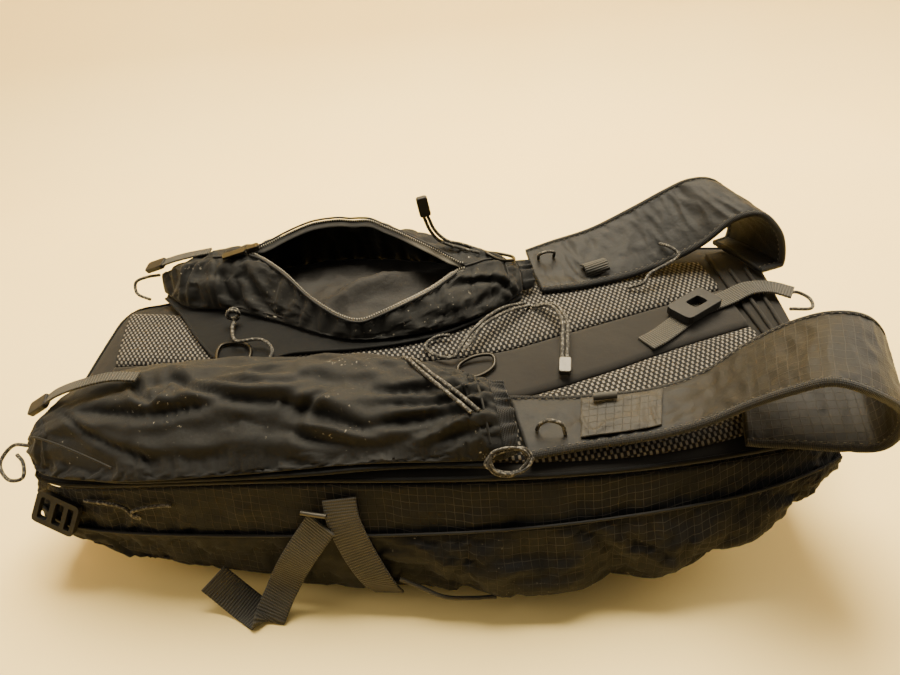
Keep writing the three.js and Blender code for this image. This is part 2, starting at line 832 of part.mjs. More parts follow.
piece(
  "zip_pocket",
  geometryOf(solid(zipOuter).subtract(solid(zipInner)).subtract(solid(lens))),
  "pocket",
);

// The top of the zipped pocket's cloth at a place, as if it had no opening.
function bagTop(rows, folds, x, y) {
  const a = shareAt(rows, "x", (100 * x) / PACK_LENGTH);
  const { ring: flat } = bagSection(rows, folds, a);
  for (let k = 0; k < BAG_STEPS; k++) {
    const [y0, z0] = flat[k];
    const [y1, z1] = flat[k + 1];
    if (y <= y1) return mix(z0, z1, Math.max((y - y0) / (y1 - y0), 0));
  }
  return flat[BAG_STEPS][1];
}

// Zip tapes: the two halves of the open coil zip, sewn inside the lips.
function zipTape(column, sign) {
  const point = (a, b) => {
    const s = mix(0.05, 0.95, a);
    const x = X(curve(LIPS, "x", s));
    const lip = Y(curve(LIPS, column, s));
    const other = Y(curve(LIPS, column === "low" ? "high" : "low", s));
    const room = Math.min(ZIP_TAPE, Math.abs(other - lip) * 0.42);
    const edge = lip + sign * LIP_CLEAR;
    const y = edge + sign * (room - LIP_CLEAR) * b;
    const z = bagTop(ZIP_POCKET, ZIP_FOLDS, x, lip) - 0.4 - (column === "low" ? 0 : 2 * b);
    return vec(x, y, z);
  };
  return sheet(point, 14, 1, -ZIP_THICK / 2, ZIP_THICK / 2);
}
piece("zip_tape_near", zipTape("low", 1), "strap");
piece("zip_tape_far", zipTape("high", -1), "strap");

// A flat plate with round corners, centred, its length on X and its width on Y.
function plate(length, width, thick, radius, holes = []) {
  const half = length / 2;
  const side = width / 2;
  const outline = (l, w, r) => {
    const shape = new THREE.Shape();
    shape.moveTo(-l + r, -w);
    shape.lineTo(l - r, -w);
    shape.quadraticCurveTo(l, -w, l, -w + r);
    shape.lineTo(l, w - r);
    shape.quadraticCurveTo(l, w, l - r, w);
    shape.lineTo(-l + r, w);
    shape.quadraticCurveTo(-l, w, -l, w - r);
    shape.lineTo(-l, -w + r);
    shape.quadraticCurveTo(-l, -w, -l + r, -w);
    return shape;
  };
  const shape = outline(half, side, radius);
  for (const [at, l, w] of holes) {
    const hole = new THREE.Path(
      outline(l / 2, w / 2, Math.min(l, w) / 5)
        .getPoints(2)
        .map((p) => p.add(new THREE.Vector2(at, 0)))
        .reverse(),
    );
    shape.holes.push(hole);
  }
  const geometry = new THREE.ExtrudeGeometry(shape, {
    depth: thick,
    bevelEnabled: false,
    curveSegments: 2,
  });
  geometry.translate(0, 0, -thick / 2);
  return geometry;
}

// Puts a piece made at the origin at a place, its length toward ahead and its top toward above.
function put(geometry, at, ahead, above) {
  const x = ahead.clone().normalize();
  const y = above.clone().cross(x).normalize();
  const z = x.clone().cross(y);
  const matrix = new THREE.Matrix4().makeBasis(x, y, z).setPosition(at);
  return geometry.clone().applyMatrix4(matrix);
}

// Zip slider and its pull: a plain slider at the waist end of the opening, its tab turned back.
const sliderX = X(LIPS[0].x);
const sliderY = Y((LIPS[0].low + LIPS[0].high) / 2);
const sliderTop = (x) => bagTop(ZIP_POCKET, ZIP_FOLDS, x, sliderY);
const sliderAt = vec(sliderX, sliderY, 0);
const pullSlope = sliderTop(sliderX) - sliderTop(sliderX - PULL_LENGTH);
const zipAhead = vec(PULL_LENGTH, 0, pullSlope).normalize();
const zipAbove = vec(-zipAhead.z, 0, zipAhead.x);
sliderAt.z = sliderTop(sliderX) + GAP + SLIDER_HEIGHT / 2 + 1;
piece(
  "zip_slider",
  put(plate(SLIDER_LENGTH, SLIDER_WIDTH, SLIDER_HEIGHT, 2), sliderAt, zipAhead, zipAbove),
  "metal",
);
const pullAt = sliderAt
  .clone()
  .addScaledVector(zipAhead, -(SLIDER_LENGTH / 2 + GAP + PULL_LENGTH / 2))
  .addScaledVector(zipAbove, 0.6);
piece(
  "zip_pull",
  put(plate(PULL_LENGTH, PULL_WIDTH, PULL_THICK, 1.5), pullAt, zipAhead, zipAbove),
  "metal",
);

// Zipped pocket hem: the gathered elastic edge at its end toward the neck.
const zipEndX = X(ZIP_POCKET[ZIP_POCKET.length - 1].x);
piece(
  "zip_pocket_hem",
  sheet(hemPoint(ZIP_POCKET, ZIP_FOLDS, zipEndX + 2 * GAP, 1), 2, BAG_STEPS * 2, -2, 0),
  "pocket",
);

// A strip of webbing through places, its width along a side direction at each place.
function webbing(rows, width, thick, steps) {
  const path = new THREE.CatmullRomCurve3(
    rows.map((row) => row.at),
    false,
    "centripetal",
  );
  const sides = new THREE.CatmullRomCurve3(
    rows.map((row) => row.side),
    false,
    "centripetal",
  );
  const point = (a, b) => {
    const tangent = path.getTangent(a);
    const side = sides.getPoint(a);
    side.addScaledVector(tangent, -side.dot(tangent)).normalize();
    const edge = path.getPoint(a).addScaledVector(side, width * (b - 0.5));
    edge.z = Math.max(edge.z, thick / 2);
    return edge;
  };
  return sheet(point, steps, 1, -thick / 2, thick / 2);
}

// A place on the near wall of the hull at a length and height, lift mm out from it.
function onWall(x, z, lift) {
  const u = shareAt(HULL, "xNear", x);
  const { line, list } = hullSection(u, true);
  const height = Z(z);
  const outward = line.near.clone().sub(line.far).normalize();
  for (let k = 0; k < 2 * WALL_STEPS + TURN_STEPS; k++) {
    const [s0, z0] = list[k];
    const [s1, z1] = list[k + 1];
    if (height <= z0 && height >= z1) {
      const p = stationPoint(line, mix(s0, s1, (z0 - height) / (z0 - z1)), height);
      return p.addScaledVector(outward, lift);
    }
  }
  return stationPoint(line, list[0][0], height).addScaledVector(outward, lift);
}

// A place over a band, lift mm above its padding, on the side away from the back.
function overBand(rows, a, b, lift) {
  const step = 1e-3;
  const here = bandPoint(rows, a, b, STRAP_HALF);
  const ahead = bandPoint(rows, a + step, b, STRAP_HALF).sub(here);
  const across = bandPoint(rows, a, b + step, STRAP_HALF).sub(here);
  const normal = across.cross(ahead).normalize();
  if (rows[0].ya < rows[0].yb) normal.negate();
  return here.addScaledVector(normal, STRAP_HALF + lift);
}
// A place on the shell above the near seam, where the front pocket doesn't cover it.
const onShell = (x, z, lift) => onWall(x, z, lift - SHELL_INSET);

// A place over the cloth of a chest pocket, lift mm above it.
function overBag(rows, folds, x, y, lift) {
  return vec(X(x), Y(y), bagTop(rows, folds, X(x), Y(y)) + lift);
}
const overBottle = (x, y, lift) => overBag(BOTTLE_POCKET, BOTTLE_FOLDS, x, y, lift);
const overZip = (x, y, lift) => overBag(ZIP_POCKET, ZIP_FOLDS, x, y, lift);
const at = (x, y, z) => vec(X(x), Y(y), Z(z));

// Elastic cord: a tube with a step every three diameters, laid CORD_SEAT over what carries it.
const CORD_STEP = 3 * CORD;
const CORD_SEAT = 0.9;
function cord(name, places) {
  let length = 0;
  places.slice(1).forEach((p, i) => (length += p.distanceTo(places[i])));
  piece(name, tube(places, CORD, Math.max(6, Math.ceil(length / CORD_STEP))), "cord");
}

// Sleeve on the near strap: a ripstop patch over the padding, with a rolled elastic at its edge.
const SLEEVE_THICK = 1.2;
piece(
  "strap_sleeve_near",
  sheet(
    (a, b) => overBand(STRAP_NEAR, mix(0.075, 0.165, a), mix(0.86, 0.12, b), 0),
    6,
    4,
    GAP,
    GAP + SLEEVE_THICK,
  ),
  "shell",
);
const ROLL = 4.6;
const rollLift = 2 * GAP + SLEEVE_THICK + ROLL / 2 + 0.3;
piece(
  "elastic_roll_near",
  tube(
    [0.088, 0.1, 0.112].map((a) => overBand(STRAP_NEAR, a, 0.2, rollLift)),
    ROLL,
    2,
  ),
  "webbing",
);
cord("strap_loop_near", [
  overBand(STRAP_NEAR, 0.02, 0.62, CORD_SEAT),
  overBand(STRAP_NEAR, 0.022, 0.66, 8),
  overBand(STRAP_NEAR, 0.035, 0.7, 12),
  overBand(STRAP_NEAR, 0.052, 0.74, 9),
  overBand(STRAP_NEAR, 0.056, 0.76, CORD_SEAT),
]);

// Hem cord: two strands from the back, over the bottle pocket, to the wound loop at its mouth.
for (const [i, dx] of [0, 0.9].entries()) {
  cord("hem_cord_" + (i + 1), [
    onDeck(-1.6 + dx, 1.5, 1.7),
    overBottle(-0.2 + dx, -6, 5),
    overBottle(1.6 + dx, -14, 3.5),
    overBottle(3.8 + dx, -22, 3.5),
    overBottle(6 + dx, -28.5, 4.5),
  ]);
}
const windCentre = vec(X(9.4), Y(-36.9), layerTop(X(9.4), Y(-38)) + 9);
const windPlaces = (size) => {
  const places = [];
  for (let k = 0; k < 8; k++) {
    const angle = (Math.PI * k) / 4;
    const across = vec(0, 0.55, 0.83).normalize();
    places.push(
      windCentre
        .clone()
        .add(vec(size * 1.7 * Math.cos(angle), 0, 0))
        .addScaledVector(across, size * Math.sin(angle)),
    );
  }
  return places;
};
piece("hem_cord_winding", ring(windPlaces(7), CORD * 1.6, 12, 6), "cord");

// Pull strap: a narrow strap arching over the bottle pocket to a hard end tab.
const sideways = vec(0, 1, 0);
const pullPlaces = [
  overBottle(-33.6, 2.8, 1.8),
  overBottle(-37, 4, 5),
  overBottle(-41, 4.6, 6),
  overBottle(-44.4, 6.2, 5),
  overBottle(-46.2, 7.4, 6),
];
piece(
  "pull_strap_near",
  webbing(pullPlaces.map((p) => ({ at: p, side: sideways })), PULL_WEBBING, WEBBING_THICK, 12),
  "webbing",
);
const TAB_LENGTH = 20;
const TAB_WIDTH = 10;
const TAB_THICK = 4;
function endTab(name, from, to, above) {
  const ahead = to.clone().sub(from).normalize();
  const centre = to.clone().addScaledVector(ahead, TAB_LENGTH / 2 + GAP);
  piece(name, put(plate(TAB_LENGTH, TAB_WIDTH, TAB_THICK, 2.5), centre, ahead, above), "plastic");
}
endTab("pull_tab_near", pullPlaces[3], pullPlaces[4], vec(0, -0.3, 1));

// End loops: one cord looped twice out of the waist end, under the bottle pocket.
cord("end_loops_near", [
  at(-49.85, 3.4, 88.2),
  at(-52.6, 5.4, 86),
  at(-54.2, 2.2, 79),
  at(-52.9, -1.8, 73),
  at(-51.1, -2.2, 74),
  at(-51.2, 1.4, 79),
  at(-52.2, 4, 81),
]);

// Ladder buckle: a small frame hanging on the near side at the waist end.
const ladderAt = onShell(-46.4, 60, 5.5);
piece(
  "ladder_buckle",
  put(
    plate(30, 22, 4, 3, [
      [-8, 7, 15],
      [2, 6, 15],
      [10, 4, 15],
    ]),
    ladderAt,
    vec(0.85, -0.45, -0.3),
    vec(-0.5, -0.8, 0.55),
  ),
  "plastic",
);
cord("toggle_cord_near", [
  onShell(-42.4, 70, 2),
  onShell(-39.6, 70, 2),
  onShell(-37.2, 68, 2.2),
  onShell(-36.2, 63, 3),
  onShell(-35, 65, 5.5),
  onShell(-36, 69, 6),
  onShell(-34, 72, 4),
  onShell(-31, 73, 2.2),
]);

// Far tie cord: from the edge of the far chest panel to a wire hook, with an overhand knot.
const knotAt = onDeck(-23.3, 31.6, 12.4);
piece(
  "far_tie_knot",
  ring(
    [0, 1, 2, 3, 4, 5].map((k) =>
      knotAt.clone().add(vec(4 * Math.cos(k * 1.047), 0.8 * Math.sin(k * 2.1), 4 * Math.sin(k * 1.047))),
    ),
    CORD * 1.5,
    10,
    6,
  ),
  "cord",
);
cord("far_tie_cord", [
  onDeck(-23.3, 30.5, 8.4),
  onDeck(-23.4, 26.4, 9),
  onDeck(-22.6, 20, 9.8),
  onDeck(-19.2, 18.6, 9.6),
  onDeck(-17.6, 14, 8),
  onDeck(-18.4, 10.6, 5.6),
  onDeck(-20.2, 12, 4.95),
]);
function wireLoop(name, places, steps) {
  piece(name, ring(places, WIRE, steps, 6), "metal");
}
wireLoop(
  "far_wire_hook",
  [
    onDeck(-25, 22, 5),
    onDeck(-25.2, 14.6, 5),
    onDeck(-23.6, 12.2, 5),
    onDeck(-21.2, 12.8, 5),
    onDeck(-20.8, 18, 5),
    onDeck(-22, 21, 5),
  ],
  14,
);
wireLoop(
  "centre_wire_hook",
  [
    onDeck(6.6, -3, 1.9),
    onDeck(8.8, -1, 4),
    onDeck(11.4, -1.6, 4),
    onDeck(11.2, -5, 2.8),
    onDeck(8.8, -7.6, 1.9),
    onDeck(6.8, -6.2, 1.9),
  ],
  14,
);

// Centre cords: two double strands arching from the end of the zipped pocket.
for (const [i, off] of [0, 1].entries()) {
  cord("arc_cord_low_" + (i + 1), [
    onDeck(18.6 + off * 0.6, 20 - off * 1.4, 1.8),
    onDeck(14.6 + off * 0.3, 14.6 - off * 2, 10),
    onDeck(10.6 + off * 0.2, 8 - off * 1.4, 12),
    onDeck(8 + off * 0.9, 3 - off * 0.6, 9),
    onDeck(6.2 + off * 1.2, -0.4, 5 + off * 3),
    ...(i === 0
      ? [onDeck(4, 2.4, 3.4), onDeck(3, 7, 3), onDeck(5, 9.6, 4), onDeck(6.6, 8.6, 5)]
      : []),
  ]);
}
const archPlaces = (off) => [
  onDeck(20.2 - off, 18.4 - off, 1.8),
  onDeck(22 - off, 12.6, 10),
  onDeck(22.4 - off, 4.6, 12),
  onDeck(21.4 - off, -3, 9.5),
  onDeck(20.6 - off, -8, 6.8),
];
cord("arc_cord_high_1", archPlaces(0));
cord("arc_cord_high_2", archPlaces(0.66));
const ferruleFrom = archPlaces(0.33)[4];
const FERRULE_LENGTH = 12;
const ferruleAhead = archPlaces(0.33)[4].clone().sub(archPlaces(0.33)[3]).normalize();
const ferruleAt = ferruleFrom.clone().addScaledVector(ferruleAhead, FERRULE_LENGTH / 2 + 1.5 * GAP);
piece(
  "cord_ferrule",
  put(plate(FERRULE_LENGTH, 8, 4.6, 1.6), ferruleAt, ferruleAhead, vec(0, 0, 1)),
  "metal",
);

// Standing cord: two strands rising from the ring at the end of the far pocket to a hard tag.
const standTop = overZip(6, 35, 25);
for (const [i, off] of [-0.35, 0.35].entries()) {
  cord("stand_cord_" + (i + 1), [
    overZip(13.6 + off, 33 + off * 3, 1.8),
    overZip(10.6 + off, 34 + off * 3, 3.6),
    overZip(8.2 + off * 1.6, 34.6, 6.5),
    overZip(6.8 + off, 35, 14),
    standTop.clone().add(vec(off * 4, 0, 0)),
  ]);
}
piece(
  "stand_cord_tag",
  put(
    plate(15, 8, 4.6, 1.6),
    standTop.clone().add(vec(-1.6, 0, 15 / 2 + GAP)),
    vec(-0.15, 0, 1),
    vec(0, -1, 0),
  ),
  "plastic",
);
wireLoop(
  "far_pocket_ring",
  [
    overZip(14.6, 35.5, 2),
    overZip(16.6, 36, 3.4),
    overZip(18.4, 34, 4),
    overZip(18.2, 30.5, 3.4),
    overZip(16, 29.6, 2),
    overZip(14.3, 32.4, 2),
  ],
  14,
);
cord("strap_loop_far", [
  overBand(STRAP_FAR, 0.03, 0.3, CORD_SEAT),
  overBand(STRAP_FAR, 0.03, 0.34, 7),
  overBand(STRAP_FAR, 0.055, 0.36, 9.5),
  overBand(STRAP_FAR, 0.08, 0.36, 7),
  overBand(STRAP_FAR, 0.08, 0.34, CORD_SEAT),
]);
piece(
  "strap_tab_far",
  sheet(
    (a, b) => {
      const lift = GAP + 0.9 + 5 * Math.sin(Math.PI * a);
      return overBand(STRAP_FAR, mix(0.13, 0.185, b), mix(0.62, 0.86, a), lift);
    },
    6,
    1,
    -WEBBING_THICK / 2,
    WEBBING_THICK / 2,
  ),
  "webbing",
);
cord("strap_cord_far", [
  overBand(STRAP_FAR, 0.31, 0.72, 2 * CORD_SEAT),
  overBand(STRAP_FAR, 0.325, 0.86, 6),
  overBand(STRAP_FAR, 0.335, 1.02, 5.5),
  at(37.4, 20.4, 126),
  onDeck(36.4, 18.6, 7),
  onDeck(34.2, 19.6, 3),
]);

// End strap of the far pocket and its hard tab, and the cord loop under it.
const endPlaces = [
  overZip(-26.6, 55.4, 3.2),
  overZip(-29.4, 56.4, 4.4),
  overZip(-32, 58.4, 6),
  overZip(-34.6, 61, 8),
];
piece(
  "end_strap_far",
  webbing(endPlaces.map((p) => ({ at: p, side: sideways })), PULL_WEBBING, WEBBING_THICK, 10),
  "webbing",
);
endTab("end_tab_far", endPlaces[2], endPlaces[3], vec(0, -0.3, 1));
cord("end_loop_far", [
  at(-36.15, 62.6, 121),
  at(-38.4, 63, 120),
  at(-40.2, 62.6, 117),
  at(-40.2, 60.4, 110),
  onDeck(-38.2, 58.4, 3),
]);

// Top strap: webbing from the neck edge, through a ladder buckle, to its loose tail.
const topPlaces = [
  [56, 5.4, 5.4],
  [53.6, 9, 5.8],
  [50.4, 10, 5.4],
  [47.4, 8.8, 2.6],
  [44, 7, 1.8],
  [41, 5.2, 1.6],
  [37.6, 0.8, 1.6],
  [34.4, -3, 1.6],
  [32, -5, 1.4],
].map(([x, y, lift]) => onDeck(x, y, lift));
function flatSides(places) {
  return places.map((p, i) => {
    const before = places[Math.max(i - 1, 0)];
    const after = places[Math.min(i + 1, places.length - 1)];
    const way = after.clone().sub(before);
    return { at: p, side: vec(-way.y, way.x, 0).normalize() };
  });
}
piece("top_strap", webbing(flatSides(topPlaces), TOP_WEBBING, WEBBING_THICK, 26), "webbing");
const buckleAhead = topPlaces[4].clone().sub(topPlaces[6]);
const BUCKLE_THICK = 6;
piece(
  "top_buckle",
  put(
    plate(36, 21, BUCKLE_THICK, 4, [[2, 13, 9]]),
    topPlaces[5].clone().add(vec(0, 0, BUCKLE_THICK / 2 + 1.6)),
    buckleAhead,
    vec(0, 0, 1),
  ),
  "plastic",
);
cord("haul_loop", [
  onDeck(55.6, 6.4, 2.9),
  at(57.6, 7.8, 114),
  at(59, 5.4, 111),
  at(58.2, 1.6, 110),
  onDeck(54.4, 0.6, 1.8),
]);

// Side strap: webbing down the near side from a folded tab, and a leg that loops on the floor.
const wallSide = vec(1, -0.1, 0.25);
piece(
  "side_strap_upper",
  webbing(
    [
      { at: onShell(-10.4, 84, 2.8), side: vec(1, -0.12, 0.1) },
      { at: onShell(-10.2, 72, 5), side: wallSide },
      { at: onWall(-8.8, 48, 3), side: wallSide },
      { at: onWall(-7, 26, 3.8), side: vec(1, -0.3, 0.2) },
      { at: onWall(-6, 12, 3.6), side: vec(1, -0.35, 0) },
    ],
    SIDE_WEBBING,
    WEBBING_THICK,
    14,
  ),
  "webbing",
);
piece(
  "side_strap_bar",
  tube([onShell(-15, 77, 6.4), onShell(-13.4, 77, 7.6), onShell(-12, 77, 8.4)], 3, 3),
  "metal",
);
piece(
  "side_strap_leg",
  webbing(
    [
      { at: onWall(-12.8, 70.6, 5.2), side: vec(1, -0.3, 0.5) },
      { at: onWall(-16.4, 44, 6.6), side: vec(0.9, -0.2, 0.5) },
      { at: at(-19.4, -33.4, 20), side: vec(0.9, -0.25, 0.35) },
      { at: at(-21, -35.8, 8), side: vec(0.95, -0.2, 0.1) },
      { at: at(-21.8, -37.4, 2.6), side: vec(1, -0.1, 0) },
      { at: at(-22.4, -36.2, 0.8), side: vec(1, -0.1, 0) },
      { at: at(-24.2, -32.8, 2.4), side: vec(0.95, 0.2, 0) },
      { at: at(-26.4, -29.6, 11), side: vec(0.9, 0.3, 0.1) },
      { at: at(-28.2, -27.6, 22), side: vec(0.9, 0.35, 0.15) },
    ],
    SIDE_WEBBING,
    WEBBING_THICK,
    26,
  ),
  "webbing",
);
piece(
  "bottom_piping",
  tube(
    [
      onWall(-4.4, 30, 3.4),
      onWall(-2.4, 25, 3.8),
      onWall(0.6, 19, 3.6),
      onWall(4, 13, 3.8),
      onWall(7, 9, 3.6),
    ],
    PIPING,
    12,
  ),
  "webbing",
);

// The part stands centred over its origin, on the floor.
const partBox = new THREE.Box3();
placed.traverse((mesh) => {
  if (!mesh.isMesh || cordNames.includes(mesh.name)) return;
  partBox.expandByObject(mesh);
});
placed.position.set(
  -(partBox.min.x + partBox.max.x) / 2,
  -(partBox.min.y + partBox.max.y) / 2,
  -partBox.min.z,
);

export default part;
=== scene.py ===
import bpy
import numpy as np
from mathutils import Matrix, Vector


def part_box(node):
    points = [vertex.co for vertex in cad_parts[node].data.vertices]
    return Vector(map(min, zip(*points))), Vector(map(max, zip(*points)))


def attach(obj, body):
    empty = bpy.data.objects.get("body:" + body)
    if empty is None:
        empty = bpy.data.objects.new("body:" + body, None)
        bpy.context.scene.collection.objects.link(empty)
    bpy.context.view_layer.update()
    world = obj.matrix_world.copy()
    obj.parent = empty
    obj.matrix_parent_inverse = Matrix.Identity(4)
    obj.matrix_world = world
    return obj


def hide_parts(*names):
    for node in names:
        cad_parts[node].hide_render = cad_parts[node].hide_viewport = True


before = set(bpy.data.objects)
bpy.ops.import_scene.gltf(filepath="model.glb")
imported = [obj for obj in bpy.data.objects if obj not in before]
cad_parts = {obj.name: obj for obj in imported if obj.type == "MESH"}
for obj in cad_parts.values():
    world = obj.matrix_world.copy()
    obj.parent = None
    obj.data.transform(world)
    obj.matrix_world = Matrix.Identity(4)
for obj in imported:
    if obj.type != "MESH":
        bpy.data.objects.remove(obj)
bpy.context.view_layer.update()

PACK = np.array([500.0, 250.0, 100.0])
GAP = 0.5
SHIFT = np.zeros(3)


# Section tables: named columns, a row for each section, and smooth curves through the rows.
def table(names, rows):
    return {key: np.array([row[i] for row in rows], float) for i, key in enumerate(names.split())}


def curve(rows, column, s):
    values = rows[column]
    last = len(values) - 1
    at = np.clip(np.asarray(s, float), 0, 1) * last
    i = np.minimum(np.floor(at).astype(int), last - 1)
    f = at - i
    ends = ([2 * values[0] - values[1]], values, [2 * values[-1] - values[-2]])
    p = np.concatenate(ends)
    a, b, c, d = p[i], p[i + 1], p[i + 2], p[i + 3]
    f2, f3 = f * f, f * f * f
    return (
        b * (2 * f3 - 3 * f2 + 1)
        + c * (3 * f2 - 2 * f3)
        + (c - a) / 2 * (f3 - 2 * f2 + f)
        + (d - b) / 2 * (f3 - f2)
    )


def share_at(rows, column, value):
    low = np.zeros(np.shape(value))
    high = np.ones(np.shape(value))
    for _ in range(24):
        mid = (low + high) / 2
        under = curve(rows, column, mid) < value
        low = np.where(under, mid, low)
        high = np.where(under, high, mid)
    return (low + high) / 2


def mix(a, b, f):
    return a + (b - a) * f


def smooth(f):
    g = np.clip(f, 0, 1)
    return g * g * (3 - 2 * g)


def X(share):
    return share * PACK[0] / 100


def Y(share):
    return share * PACK[1] / 100


def Z(share):
    return share * PACK[2] / 100


def point(x, y, z):
    return np.stack(np.broadcast_arrays(x, y, z), -1).astype(float)


def unit(v):
    return v / np.maximum(np.linalg.norm(v, axis=-1, keepdims=True), 1e-9)


# Soft waves with no pattern to the eye, for folds and creases: a sum of sines from a fixed seed.
def waves(u, v, size, seed, stretch=1.0, count=7):
    rng = np.random.default_rng(seed)
    total = 0
    for _ in range(count):
        angle = rng.uniform(0, 2 * np.pi)
        rate = 2 * np.pi / (size * rng.uniform(0.6, 1.6))
        phase = rng.uniform(0, 2 * np.pi)
        total = total + np.sin(rate * (u * np.cos(angle) / stretch + v * np.sin(angle)) + phase)
    return total / np.sqrt(count)


def creases(u, v, size, seed, stretch=1.0):
    return 1 - np.abs(waves(u, v, size, seed, stretch)) * 1.2


def fold_depth(u, v, rows):
    """How deep the named folds are at u and v in mm: each is a groove between two soft ridges,
    along a bow through three places."""
    total = 0 * u
    for u0, v0, u1, v1, u2, v2, deep, wide in zip(*(rows[c] for c in FOLD_COLUMNS.split())):
        nearest, at_share = np.full(np.shape(u), 1e9), np.zeros(np.shape(u))
        for s in np.linspace(0, 1, 28):
            ways = (2 * (s - 0.5) * (s - 1), 4 * s * (1 - s), 2 * s * (s - 0.5))
            pu = ways[0] * u0 + ways[1] * u1 + ways[2] * u2
            pv = ways[0] * v0 + ways[1] * v1 + ways[2] * v2
            gap = np.hypot(u - pu, v - pv)
            at_share = np.where(gap < nearest, s, at_share)
            nearest = np.minimum(nearest, gap)
        ridges = np.exp(-(((nearest - 2.4 * wide) / (1.3 * wide)) ** 2))
        groove = np.exp(-((nearest / wide) ** 2)) - 0.6 * ridges
        total = total + deep * groove * np.clip(np.sin(np.pi * (0.06 + 0.88 * at_share)) * 1.6, 0, 1)
    return total


FOLD_COLUMNS = "u0 v0 u1 v1 u2 v2 deep wide"


def folds_in(scale_u, scale_v, rows):
    rows = table(FOLD_COLUMNS, rows)
    for column in ("u0", "u1", "u2"):
        rows[column] = np.array(rows[column]) * scale_u
    for column in ("v0", "v1", "v2"):
        rows[column] = np.array(rows[column]) * scale_v
    return rows


# Normals of a grid of points, pointing to the left of its rows seen from its columns.
def normals(grid):
    along = np.gradient(grid, axis=0)
    across = np.gradient(grid, axis=1)
    return unit(np.cross(along, across))


# Meshes: grids of points made into sheets, closed pads and round lines.
def mesh_of(name, points, faces, uv=None, material=None):
    mesh = bpy.data.meshes.new(name)
    mesh.from_pydata(((points + SHIFT) / 1000).tolist(), [], faces)
    if uv is not None:
        layer = mesh.uv_layers.new(name="cloth")
        loops = np.empty(len(mesh.loops), np.int32)
        mesh.loops.foreach_get("vertex_index", loops)
        layer.data.foreach_set("uv", (uv[loops] / 1000).astype(np.float32).ravel())
    mesh.polygons.foreach_set("use_smooth", np.ones(len(mesh.polygons), bool))
    obj = bpy.data.objects.new(name, mesh)
    bpy.context.scene.collection.objects.link(obj)
    if material is not None:
        mesh.materials.append(material)
    return obj


def grid_faces(rows, columns):
    i, j = np.meshgrid(np.arange(rows - 1), np.arange(columns - 1), indexing="ij")
    a = (i * columns + j).ravel()
    return np.stack([a, a + columns, a + columns + 1, a + 1], 1)


def grid_uv(grid):
    along = np.linalg.norm(np.diff(grid, axis=0), axis=2).mean(1)
    across = np.linalg.norm(np.diff(grid, axis=1), axis=2)
    u = np.concatenate([[0], np.cumsum(along)])
    v = np.concatenate([np.zeros((len(grid), 1)), np.cumsum(across, axis=1)], axis=1)
    v = v - v[:, -1:] / 2
    return np.stack([np.broadcast_to(u[:, None], v.shape), v], -1)


def plain(obj):
    evaluated = obj.evaluated_get(bpy.context.evaluated_depsgraph_get())
    mesh = bpy.data.meshes.new_from_object(evaluated)
    old = obj.data
    obj.modifiers.clear()
    obj.data = mesh
    if isinstance(old, bpy.types.Mesh):
        bpy.data.meshes.remove(old)
    return obj


def sheet_of(name, grid, material):
    """A bare sheet of cloth from a grid of points, with no thickness yet."""
    faces = grid_faces(*grid.shape[:2]).tolist()
    return mesh_of(name, grid.reshape(-1, 3), faces, grid_uv(grid).reshape(-1, 2), material)


def thicken(obj, thick, inside=None):
    """Gives a sheet its thickness in mm, on the side away from its normal."""
    wall = obj.modifiers.new("wall", "SOLIDIFY")
    wall.thickness = thick / 1000
    wall.offset = -1
    if inside is not None:
        obj.data.materials.append(inside)
        wall.material_offset = 1
    return plain(obj)


def cloth(name, grid, thick, material):
    return thicken(sheet_of(name, grid, material), thick)


def slab(name, low, high, material):
    """A closed pad between two grids of equal size, with a soft edge."""
    rows, columns = low.shape[:2]
    points = np.concatenate([high.reshape(-1, 3), low.reshape(-1, 3)])
    top = grid_faces(rows, columns)
    under = top[:, ::-1] + rows * columns
    edge = np.concatenate(
        [
            np.arange(columns),
            np.arange(1, rows) * columns + columns - 1,
            (rows - 1) * columns + np.arange(columns - 2, -1, -1),
            np.arange(rows - 2, 0, -1) * columns,
        ]
    )
    after = np.roll(edge, -1)
    wall = np.stack([edge, after, after + rows * columns, edge + rows * columns], 1)
    uv = grid_uv(high).reshape(-1, 2)
    faces = np.concatenate([top, under, wall]).tolist()
    return mesh_of(name, points, faces, np.concatenate([uv, uv]), material)


def settled(obj, pinned, grow, cap, frames, pressure=0.0):
    """Lets the cloth of a grid find its folds: it is cut a little too large and held where pinned."""
    group = obj.vertex_groups.new(name="held")
    group.add(np.flatnonzero(pinned).tolist(), 1.0, "REPLACE")
    start = np.empty(len(obj.data.vertices) * 3)
    obj.data.vertices.foreach_get("co", start)
    start = start.reshape(-1, 3)
    sim = obj.modifiers.new("settle", "CLOTH")
    wanted = sim.settings
    wanted.quality = 5
    wanted.mass = 0.15
    wanted.vertex_group_mass = group.name
    wanted.shrink_min = -grow
    wanted.tension_stiffness = 15
    wanted.compression_stiffness = 15
    wanted.shear_stiffness = 5
    wanted.bending_stiffness = 0.3
    wanted.effector_weights.gravity = 0
    wanted.use_pressure = pressure > 0
    wanted.uniform_pressure_force = pressure
    sim.collision_settings.use_collision = False
    sim.point_cache.frame_start = 1
    sim.point_cache.frame_end = frames
    for number in range(1, frames + 1):
        bpy.context.scene.frame_set(number)
    shaped = obj.evaluated_get(bpy.context.evaluated_depsgraph_get())
    end = np.empty(len(start) * 3)
    shaped.data.vertices.foreach_get("co", end)
    move = end.reshape(-1, 3) - start
    far = np.linalg.norm(move, axis=1, keepdims=True)
    limit = cap / 1000
    move = move * np.where(far > limit, limit / np.maximum(far, 1e-9), 1)
    obj.modifiers.clear()
    obj.vertex_groups.clear()
    obj.data.vertices.foreach_set("co", (start + move).ravel())
    obj.data.update()
    bpy.context.scene.frame_set(1)
    return obj


